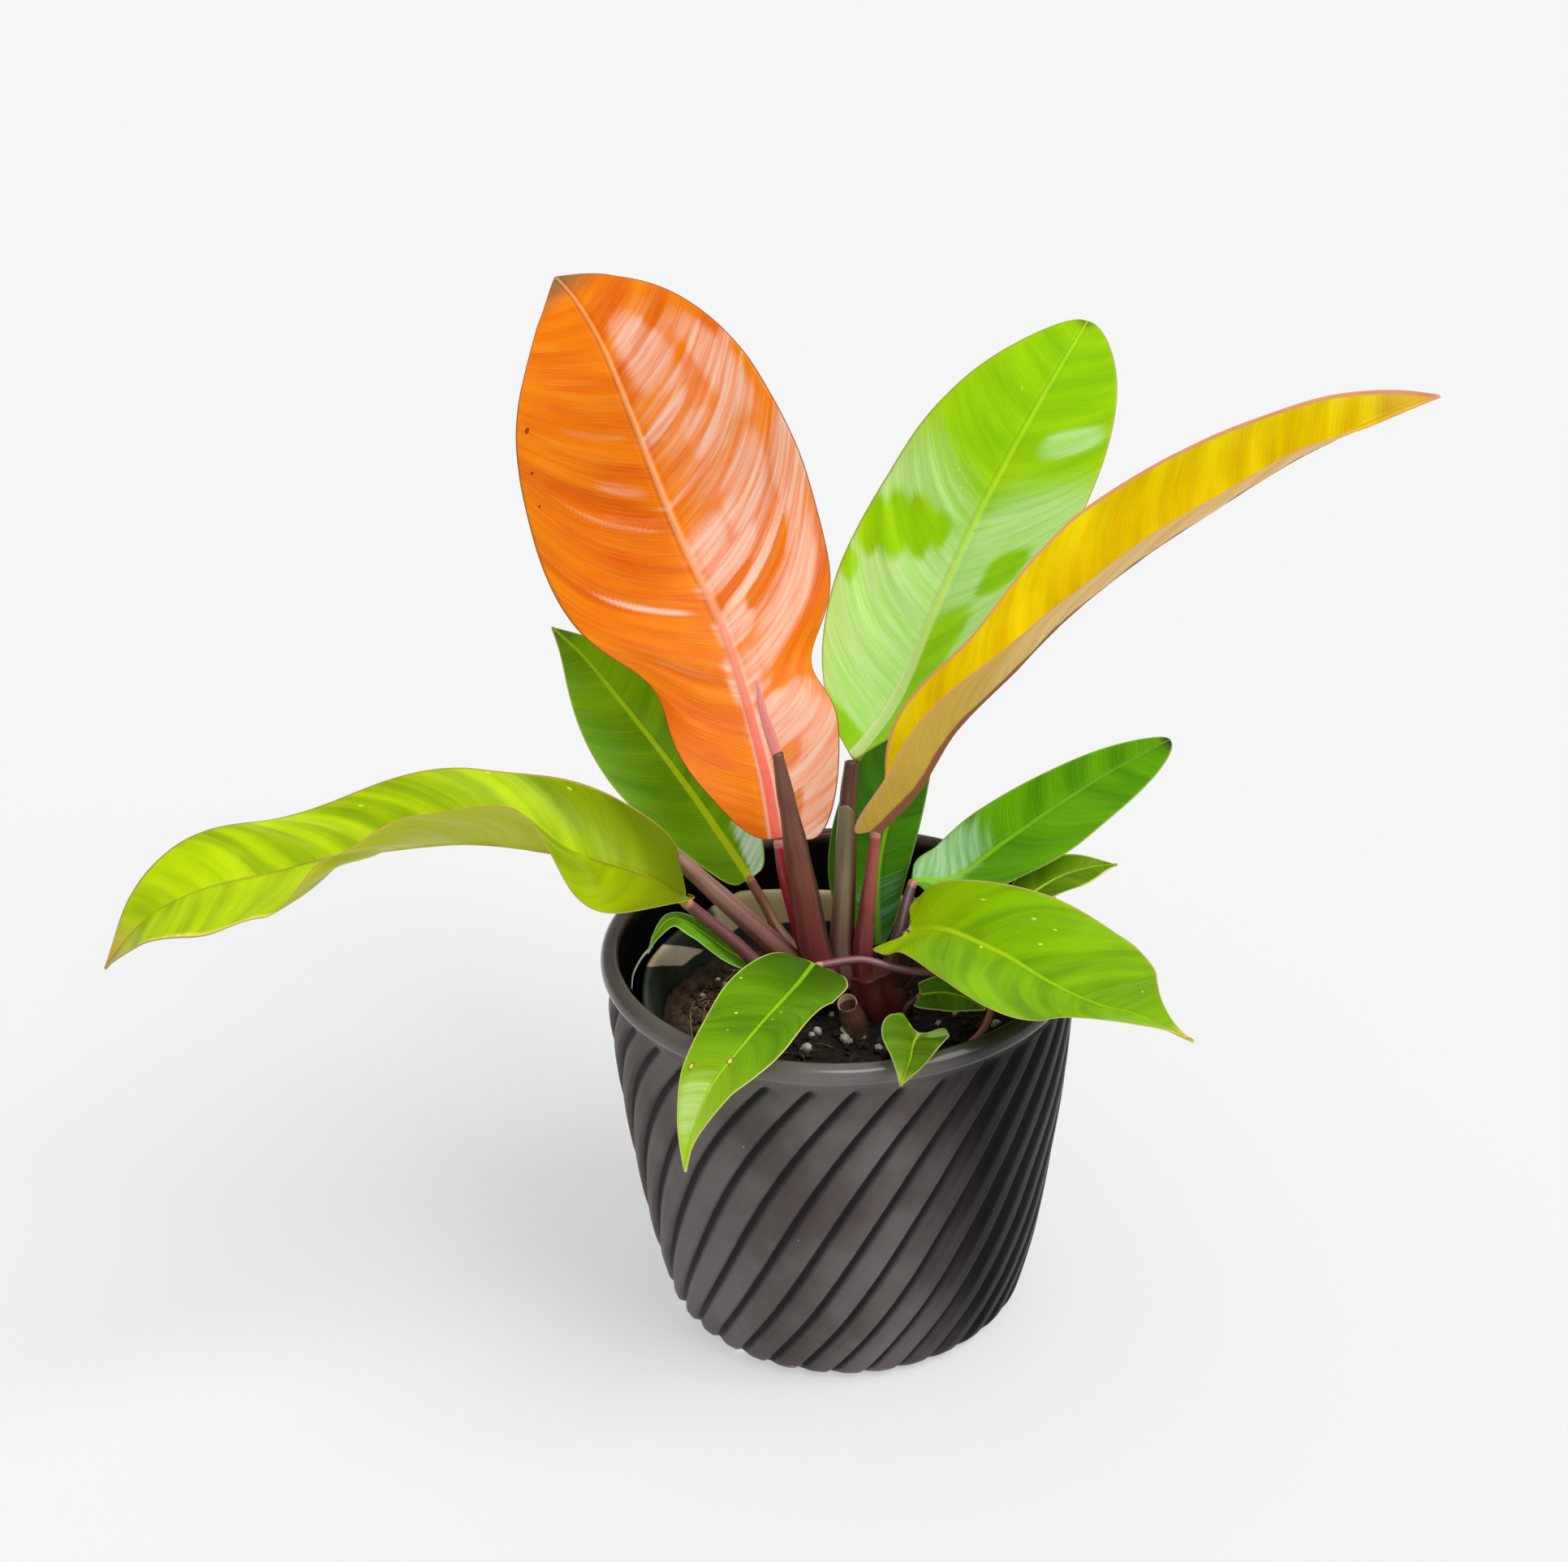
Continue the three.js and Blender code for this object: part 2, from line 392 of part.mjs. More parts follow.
// A leaf blade: a closed sheet round an arched midrib with a keel below it; grown makes it thicker all round.
function leafSolid(spec, grown = 0) {
  const curve = new THREE.CatmullRomCurve3(spec.rib.map(vector), false, "catmullrom", 0.5);
  curve.arcLengthDivisions = 400;
  const length = curve.getLength();
  const rows = spec.rows ?? 20, columns = spec.columns ?? 4;
  const grid = Array.from({ length: rows + 1 }, (_, i) => Array.from({ length: 2 * columns + 1 }, (_, j) =>
    bladePoint(spec, curve, length, (i / rows) ** 1.25, j / columns - 1, grown)));
  const wide = 2 * columns, vertices = [], faces = [];
  const half = bladeThickness / 2 + grown;
  const at = (i, j) => grid[clamp(i, 0, rows)][clamp(j, 0, wide)].place;
  const slopes = grid.map((line, i) => line.map((_, j) => {
    const across = at(i, j + 1).clone().sub(at(i, j - 1));
    return across.cross(at(i + 1, j).clone().sub(at(i - 1, j))).normalize();
  }));
  for (const face of [1, -1])
    grid.forEach((line, i) => line.forEach((point, j) => {
      const lift = face > 0 ? half / point.crease : -half / point.crease - point.keel;
      vertices.push(point.place.clone().addScaledVector(slopes[i][j], lift));
    }));
  const top = (i, j) => i * (wide + 1) + j, under = (i, j) => top(i, j) + (rows + 1) * (wide + 1);
  const quad = (a, b, c, d) => faces.push([a, b, c], [a, c, d]);
  for (let i = 0; i < rows; i++)
    for (let j = 0; j < wide; j++) {
      quad(top(i, j), top(i, j + 1), top(i + 1, j + 1), top(i + 1, j));
      quad(under(i, j), under(i + 1, j), under(i + 1, j + 1), under(i, j + 1));
    }
  for (let i = 0; i < rows; i++) {
    quad(top(i, 0), top(i + 1, 0), under(i + 1, 0), under(i, 0));
    quad(top(i + 1, wide), top(i, wide), under(i, wide), under(i + 1, wide));
  }
  for (let j = 0; j < wide; j++) {
    quad(top(0, j + 1), top(0, j), under(0, j), under(0, j + 1));
    quad(top(rows, j), top(rows, j + 1), under(rows, j + 1), under(rows, j));
  }
  return solidFrom(geometryFrom(vertices, faces));
}

const plant = new THREE.Group();

function place(name, solid, colour) {
  const material = new THREE.MeshStandardMaterial({ color: colours[colour], metalness: 0,
    roughness: roughness[colour] ?? leafRoughness });
  const mesh = new THREE.Mesh(geometryOf(solid), material);
  mesh.name = name;
  plant.add(mesh);
}

const touches = (a, b) => {
  const p = a.boundingBox(), q = b.boundingBox();
  return [0, 1, 2].every((k) => p.min[k] < q.max[k] && q.min[k] < p.max[k]);
};

// Each stalk and blade gives way by the clearance to whatever stood there before it.
const standing = [];
let mix = pottingMix();
function grow(specs, build) {
  for (const [name, spec] of Object.entries(specs)) {
    let solid = build(spec);
    for (const other of standing) if (touches(solid, other)) solid = solid.subtract(other);
    const swollen = build(spec, clearance);
    standing.push(swollen);
    if (touches(mix, swollen)) mix = mix.subtract(swollen);
    place(name, biggest(solid), spec.colour);
  }
}
grow(stalks, stalkSolid);
grow(leaves, leafSolid);
place("potting_mix", biggest(mix), "soil");
place("nursery_pot", nurseryPot(), "cream");
place("cachepot", cachepot(), "charcoal");

export default plant;
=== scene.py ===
import math

import bpy
import numpy as np
from mathutils import Matrix


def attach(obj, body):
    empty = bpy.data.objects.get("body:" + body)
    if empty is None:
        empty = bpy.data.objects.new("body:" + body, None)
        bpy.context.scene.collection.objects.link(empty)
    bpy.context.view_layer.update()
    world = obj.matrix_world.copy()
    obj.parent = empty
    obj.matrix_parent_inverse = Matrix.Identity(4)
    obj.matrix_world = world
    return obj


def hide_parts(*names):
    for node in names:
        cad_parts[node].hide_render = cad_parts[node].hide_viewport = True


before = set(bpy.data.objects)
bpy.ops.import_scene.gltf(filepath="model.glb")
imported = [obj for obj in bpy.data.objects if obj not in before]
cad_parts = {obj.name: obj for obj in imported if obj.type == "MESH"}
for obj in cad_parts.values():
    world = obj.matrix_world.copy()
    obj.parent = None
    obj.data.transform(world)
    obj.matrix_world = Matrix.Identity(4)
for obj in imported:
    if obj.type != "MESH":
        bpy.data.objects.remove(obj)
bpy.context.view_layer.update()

# A philodendron with orange and lime leaves in a thin nursery pot, inside a fluted charcoal cachepot.
# Lengths in the dictionaries are millimetres in the part's own frame; the meshes are put in as metres.
mm = 0.001
print("frame loaded:", len(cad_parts), "nodes")


# curves and fields, all on whole arrays

def unit(v):
    return v / np.linalg.norm(v, axis=-1, keepdims=True)


def squareTo(v, heading):
    # the part of v at right angles to a heading, at length one
    return unit(v - (v * heading).sum(-1, keepdims=True) * heading)


def roundTurn(count):
    return np.linspace(0, 2 * math.pi, count, endpoint=False)


def polar(radius, angle, z):
    # points (radius*cos, radius*sin, z), on the grid that the three make together
    return np.stack(np.broadcast_arrays(radius * np.cos(angle), radius * np.sin(angle), z), -1)


def smooth(u):
    u = np.clip(u, 0, 1)
    return u * u * (3 - 2 * u)


def spread(values, t):
    # evenly spaced numbers or vectors, joined by smooth steps as t runs from 0 to 1
    table = np.asarray(values, float)
    x = np.clip(t, 0, 1) * (len(table) - 1)
    i = np.minimum(x.astype(int), max(len(table) - 2, 0))
    u = smooth(x - i)
    u = u[..., None] if table.ndim > 1 else u
    return table[i] * (1 - u) + table[np.minimum(i + 1, len(table) - 1)] * u


def pathThrough(points, steps=800):
    # Catmull-Rom curve through the points, with its direction and the distance run at each step
    p = np.asarray(points, float)
    p = np.vstack([2 * p[0] - p[1], p, 2 * p[-1] - p[-2]])
    x = np.linspace(0, len(p) - 3, steps + 1)
    i = np.minimum(x.astype(int), len(p) - 4)
    u = (x - i)[:, None]
    a, b, c, d = p[i], p[i + 1], p[i + 2], p[i + 3]
    bend, twist = 2 * a - 5 * b + 4 * c - d, 3 * b - a - 3 * c + d
    place = 0.5 * (2 * b + (c - a) * u + bend * u**2 + twist * u**3)
    heading = unit((c - a) + 2 * bend * u + 3 * twist * u**2)
    run = np.r_[0, np.cumsum(np.linalg.norm(np.diff(place, axis=0), axis=1))]
    return place, heading, run


def readPath(path, distance):
    # place and direction at a distance along a path, carried straight on past its ends
    place, heading, run = path
    inside = np.clip(distance, 0, run[-1])
    pick = lambda table: np.stack([np.interp(inside, run, table[:, k]) for k in range(3)], -1)
    way = unit(pick(heading))
    return pick(place) + way * (distance - inside)[..., None], way


def ripples(points, wavelength, seed, count=14):
    # smooth unevenness about -1 to 1: a sum of sine waves in random directions, near one wavelength
    rng = np.random.default_rng(seed)
    points = np.asarray(points, float)
    ways = unit(rng.normal(size=(count, points.shape[-1])))
    ways = ways * 2 * math.pi / wavelength * (0.65 + 0.7 * rng.random((count, 1)))
    return np.sin(points @ ways.T + rng.random(count) * 2 * math.pi).sum(-1) * math.sqrt(1 / count)


# meshes

def gridQuads(rows, columns, around=False):
    # quads between neighbours of a rows by columns grid; around joins its last column to its first
    i, j = np.meshgrid(np.arange(rows - 1), np.arange(columns if around else columns - 1), indexing="ij")
    low, k = i * columns, (j + 1) % columns
    return np.stack([low + j, low + k, low + columns + k, low + columns + j], -1).reshape(-1, 4)


def fan(first, count, centre, outward=True):
    # triangles from a ring of points to one centre point
    j = np.arange(count)
    k = (j + 1) % count
    edge = (first + j, first + k) if outward else (first + k, first + j)
    return np.stack([np.full(count, centre), *edge], -1)


def tubeFaces(rows, sides):
    # the side of a tube of rings, and its two ends closed to the two points that come after the rings
    centre = rows * sides
    return [gridQuads(rows, sides, around=True), fan(0, sides, centre, False),
            fan((rows - 1) * sides, sides, centre + 1)]


def makePiece(name, points, faces, finish, stands=(), marks=None):
    # one mesh object from arrays of points and faces, with float or vector marks on its points
    mesh = bpy.data.meshes.new(name)
    mesh.from_pydata(points.reshape(-1, 3) * mm, [], [f for part in faces for f in part.tolist()])
    for key, values in (marks or {}).items():
        flat = np.asarray(values, np.float32)
        kind, field = ("FLOAT_VECTOR", "vector") if flat.ndim > 1 else ("FLOAT", "value")
        mesh.attributes.new(key, kind, "POINT").data.foreach_set(field, flat.ravel())
    mesh.polygons.foreach_set("use_smooth", np.ones(len(mesh.polygons), bool))
    mesh.materials.append(finish)
    mesh.update()
    piece = bpy.data.objects.new(name, mesh)
    bpy.context.collection.objects.link(piece)
    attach(piece, "root")
    if stands:
        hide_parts(*stands)
    return piece


# shader nodes

def paint(red, green, blue):
    # a screen colour of 0 to 255 as a linear one
    linear = [((c / 255 + 0.055) / 1.055) ** 2.4 if c > 10 else c / 255 / 12.92 for c in (red, green, blue)]
    return (*linear, 1.0)


class Sketch:
    # short calls that add nodes to one tree and join them
    def __init__(self, tree):
        self.tree = tree

    def put(self, socket, value):
        if isinstance(value, bpy.types.NodeSocket):
            self.tree.links.new(value, socket)
        elif value is not None:
            socket.default_value = value

    def add(self, kind, inputs=None, **settings):
        node = self.tree.nodes.new(kind)
        for key, value in settings.items():
            setattr(node, key, value)
        for key, value in (inputs or {}).items():
            self.put(node.inputs[key], value)
        return node

    def math(self, operation, *values):
        return self.add("ShaderNodeMath", dict(enumerate(values)), operation=operation).outputs[0]

    def times(self, *values):
        return self.math("MULTIPLY", *values)

    def plus(self, *values):
        return self.math("ADD", *values)

    def minus(self, *values):
        return self.math("SUBTRACT", *values)

    def mix(self, share, first, second, kind="MIX"):
        inputs = {0: share, 6: first, 7: second}
        return self.add("ShaderNodeMix", inputs, data_type="RGBA", blend_type=kind).outputs[2]

    def span(self, value, low, high, start=0.0, end=1.0):
        inputs = {0: value, 1: low, 2: high, 3: start, 4: end}
        return self.add("ShaderNodeMapRange", inputs, interpolation_type="SMOOTHSTEP").outputs[0]

    def mark(self, name):
        return self.add("ShaderNodeAttribute", attribute_name=name)

    def split(self, vector):
        return self.add("ShaderNodeSeparateXYZ", {0: vector}).outputs

    def join(self, x, y, z):
        return self.add("ShaderNodeCombineXYZ", {0: x, 1: y, 2: z}).outputs[0]

    def noise(self, vector, scale, detail=2.0, rough=0.5):
        inputs = {"Vector": vector, "Scale": scale, "Detail": detail, "Roughness": rough}
        return self.add("ShaderNodeTexNoise", inputs).outputs[0]

    def here(self):
        return self.add("ShaderNodeTexCoord").outputs["Object"]

    def use(self, group, **inputs):
        node = self.add("ShaderNodeGroup", node_tree=group)
        for key, value in inputs.items():
            self.put(node.inputs[key], value)
        return node.outputs

    def bump(self, height, strength, depth):
        inputs = {"Height": height, "Strength": strength, "Distance": depth}
        return self.add("ShaderNodeBump", inputs).outputs[0]

    def blend(self, share, first, second):
        return self.mix(share, paint(*first), paint(*second))

    def over(self, colour, tint, mask, share=None):
        # a tint laid over a colour where the mask says, thinned by a share
        return self.mix(mask if share is None else self.times(mask, share), colour, paint(*tint))

    def drift(self, where, scale, low=0.3, high=0.7):
        return self.use(groups["drift"], Vector=where, Scale=scale, Low=low, High=high)["Value"]

    def flecks(self, where, scale, size, share):
        return self.use(groups["flecks"], Vector=where, Scale=scale, Size=size, Share=share)["Mask"]


def effect(name, takes, gives):
    # an empty node group with named sockets; a number makes a float input and None a vector one
    tree = bpy.data.node_groups.new(name, "ShaderNodeTree")
    for label, value in takes.items():
        kind = "NodeSocketVector" if value is None else "NodeSocketFloat"
        socket = tree.interface.new_socket(label, in_out="INPUT", socket_type=kind)
        if value is not None:
            socket.default_value = value
    for label in gives:
        tree.interface.new_socket(label, in_out="OUTPUT", socket_type="NodeSocketFloat")
    s = Sketch(tree)
    return s, s.add("NodeGroupInput").outputs, s.add("NodeGroupOutput").inputs


def sideVeinsGroup():
    # fine parallel side veins, with soft streaks and broad bands along them, the bands used for painted fold
    # shade;
    # Vein is (order, distance, face)
    s, given, out = effect("sideVeins", {"Vein": None, "Spacing": 1.6, "Seed": 0.0},
                           ["Lines", "Streaks", "Bands"])
    q, d = s.split(given["Vein"])[:2]
    side = s.math("SIGN", d)
    seed = s.plus(given["Seed"], s.times(side, 3.7))
    away = s.math("ABSOLUTE", d)
    wander = s.noise(s.join(s.times(q, 0.09), s.times(away, 0.03), seed), 1.0, 1.0)
    order = s.plus(q, s.times(wander, 5.0))
    wave = s.math("SINE", s.math("DIVIDE", s.times(order, 2 * math.pi), given["Spacing"]))
    along = lambda order, out: s.join(s.times(q, order), s.times(away, out), seed)
    faint = s.noise(along(0.5, 0.07), 1.0, 2.0)
    lines = s.times(s.span(wave, 0.35, 1.0), s.span(faint, 0.35, 0.65))
    streaks = s.noise(along(0.42, 0.03), 1.0, 4.0, 0.62)
    bands = s.noise(along(0.11, 0.02), 1.0, 2.0, 0.45)
    s.put(out["Lines"], lines)
    s.put(out["Streaks"], s.span(streaks, 0.3, 0.7))
    s.put(out["Bands"], s.span(bands, 0.3, 0.7))
    return s.tree


def midribGroup():
    # the midrib as a soft band that narrows to the tip, and the thin pale lines at its two flanks
    s, given, out = effect("midrib", {"Vein": None, "Place": None, "Base": 2.0, "Tip": 0.5},
                           ["Mask", "Flanks"])
    away = s.math("ABSOLUTE", s.split(given["Vein"])[1])
    along = s.split(given["Place"])[0]
    half = s.plus(given["Base"], s.times(s.minus(given["Tip"], given["Base"]), s.math("POWER", along, 0.8)))
    share = s.math("DIVIDE", away, half)
    s.put(out["Mask"], s.span(share, 1.25, 0.7))
    s.put(out["Flanks"], s.times(s.span(share, 0.75, 1.05), s.span(share, 1.7, 1.15)))
    return s.tree


def marginGroup():
    # the thin line along a blade's edge; Place holds the distance to the margin
    s, given, out = effect("margin", {"Place": None, "Width": 0.6}, ["Mask"])
    near = s.math("DIVIDE", s.split(given["Place"])[2], given["Width"])
    s.put(out["Mask"], s.span(near, 1.5, 0.6))
    return s.tree


def driftGroup():
    # a soft patchy drift of colour
    s, given, out = effect("drift", {"Vector": None, "Scale": 1.0, "Low": 0.35, "High": 0.65}, ["Value"])
    cloud = s.noise(given["Vector"], given["Scale"], 3.0, 0.55)
    s.put(out["Value"], s.span(cloud, given["Low"], given["High"]))
    return s.tree


def flecksGroup():
    # small round flecks in some of the cells of a cell pattern
    s, given, out = effect("flecks", {"Vector": None, "Scale": 1.0, "Size": 0.1, "Share": 0.1}, ["Mask"])
    cells = s.add("ShaderNodeTexVoronoi", {"Vector": given["Vector"], "Scale": given["Scale"]})
    pick = s.split(cells.outputs["Color"])[0]
    size = s.times(given["Size"], s.plus(0.5, s.split(cells.outputs["Color"])[1]))
    spot = s.span(cells.outputs["Distance"], s.times(size, 1.2), s.times(size, 0.7))
    s.put(out["Mask"], s.times(spot, s.math("LESS_THAN", pick, given["Share"])))
    return s.tree


def sheenGroup():
    # painted sheen: a pale patch of painted reflection whose edges break up into the streaks along the veins
    s, given, out = effect("sheen", {"Patch": 0.0, "Streaks": 0.5, "Bands": 0.5, "Breakup": 0.6}, ["Mask"])
    fray = s.plus(s.times(given["Streaks"], 0.65), s.times(given["Bands"], 0.35))
    lack = s.times(s.minus(1.0, fray), given["Breakup"])
    s.put(out["Mask"], s.span(s.minus(given["Patch"], lack), 0.0, 0.75))
    return s.tree


def spotGroup():
    # one small spot on a blade; Spot is (share along, share across, radius in mm), Blade its size in mm
    s, given, out = effect("spot", {"Place": None, "Spot": None, "Blade": None}, ["Mask"])
    place, spot, blade = s.split(given["Place"]), s.split(given["Spot"]), s.split(given["Blade"])
    along = s.times(s.minus(place[0], spot[0]), blade[0])
    across = s.times(s.minus(place[1], spot[1]), blade[1])
    gap = s.math("SQRT", s.plus(s.times(along, along), s.times(across, across)))
    rough = s.times(s.minus(s.noise(s.here(), 900.0, 1.0), 0.5), 0.6)
    s.put(out["Mask"], s.span(s.plus(s.math("DIVIDE", gap, spot[2]), rough), 1.1, 0.8))
    return s.tree


def stalkStreaksGroup():
    # long streaks down a stalk and its fine ribbing; Stalk is (share of the length, turn round it, distance)
    s, given, out = effect("stalkStreaks", {"Stalk": None, "Count": 14.0}, ["Streaks", "Ribbing"])
    turn, far = s.split(given["Stalk"])[1:3]
    angle = s.times(turn, 2 * math.pi)
    ringX, ringY = s.math("COSINE", angle), s.math("SINE", angle)
    wrapped = lambda count, pull: s.join(s.times(ringX, count), s.times(ringY, count), s.times(far, pull))
    s.put(out["Streaks"], s.span(s.noise(wrapped(given["Count"], 0.09), 0.22, 3.0), 0.3, 0.7))
    s.put(out["Ribbing"], s.noise(wrapped(22.0, 0.12), 0.4, 2.0))
    return s.tree


def grainGroup():
    # fine mineral grain and the broader unevenness under it
    s, given, out = effect("grain", {"Vector": None, "Scale": 900.0}, ["Fine", "Broad"])
    s.put(out["Fine"], s.noise(given["Vector"], given["Scale"], 3.0, 0.6))
    s.put(out["Broad"], s.noise(given["Vector"], s.times(given["Scale"], 0.06), 2.0))
    return s.tree


groups = {"veins": sideVeinsGroup(), "midrib": midribGroup(), "margin": marginGroup(),
          "drift": driftGroup(), "flecks": flecksGroup(), "sheen": sheenGroup(),
          "spot": spotGroup(), "stalk": stalkStreaksGroup(), "grain": grainGroup()}


def newFinish(name, roughness, **sockets):
    # a material with its Principled shader and the values that are the same all over the surface
    material = bpy.data.materials.new(name)
    material.use_nodes = True
    s = Sketch(material.node_tree)
    shader = material.node_tree.nodes["Principled BSDF"]
    s.put(shader.inputs["Roughness"], roughness)
    for key, value in sockets.items():
        s.put(shader.inputs[key.replace("_", " ")], value)
    return material, s, shader.inputs


# leaves

# What a leaf has unless it says otherwise. Lengths are mm, folds (left, right) are radians, and their lists
# run from petiole to tip. width, lobe and the places across (-1 to 1) go from the left side to the right one.
# patches and areas of painted sheen, a painted reflection laid over the blade's colour: [place along, place
# across, half length, half breadth, strength]; dents: [side, place, lift, half length, bite]; spots and
# scars: [place along, place across, radius].
# glow is how strongly a blade shines with its own colour, a painted glow
leafLook = dict(rows=170, columns=34, thick=0.5, keel=1.5, keelHalf=2.0, keelWide=1, quilt=0.3,
                quiltLength=13, midrib=(190, 222, 60), midribTip=(170, 214, 20), midribHalf=(1.5, 0.45),
                spacing=1.5, line=(190, 220, 60), lineShare=0.1, streakShare=0.18, edge=(200, 205, 120),
                edgeWidth=0.4, tipTint=(150, 120, 50), tipShare=0.35, tipFrom=0.88, baseReach=0.16,
                under=(150, 175, 60),
                sheen=(176, 226, 150), sheenPale=(214, 244, 200), sheenShare=0.85, breakup=0.55, rough=0.36,
                gloss=0.1, glow=0.1, slot="lime_leaf", dents=(), patches=(), areas=(), spots=(),
                spot=(236, 240, 160), scars=())

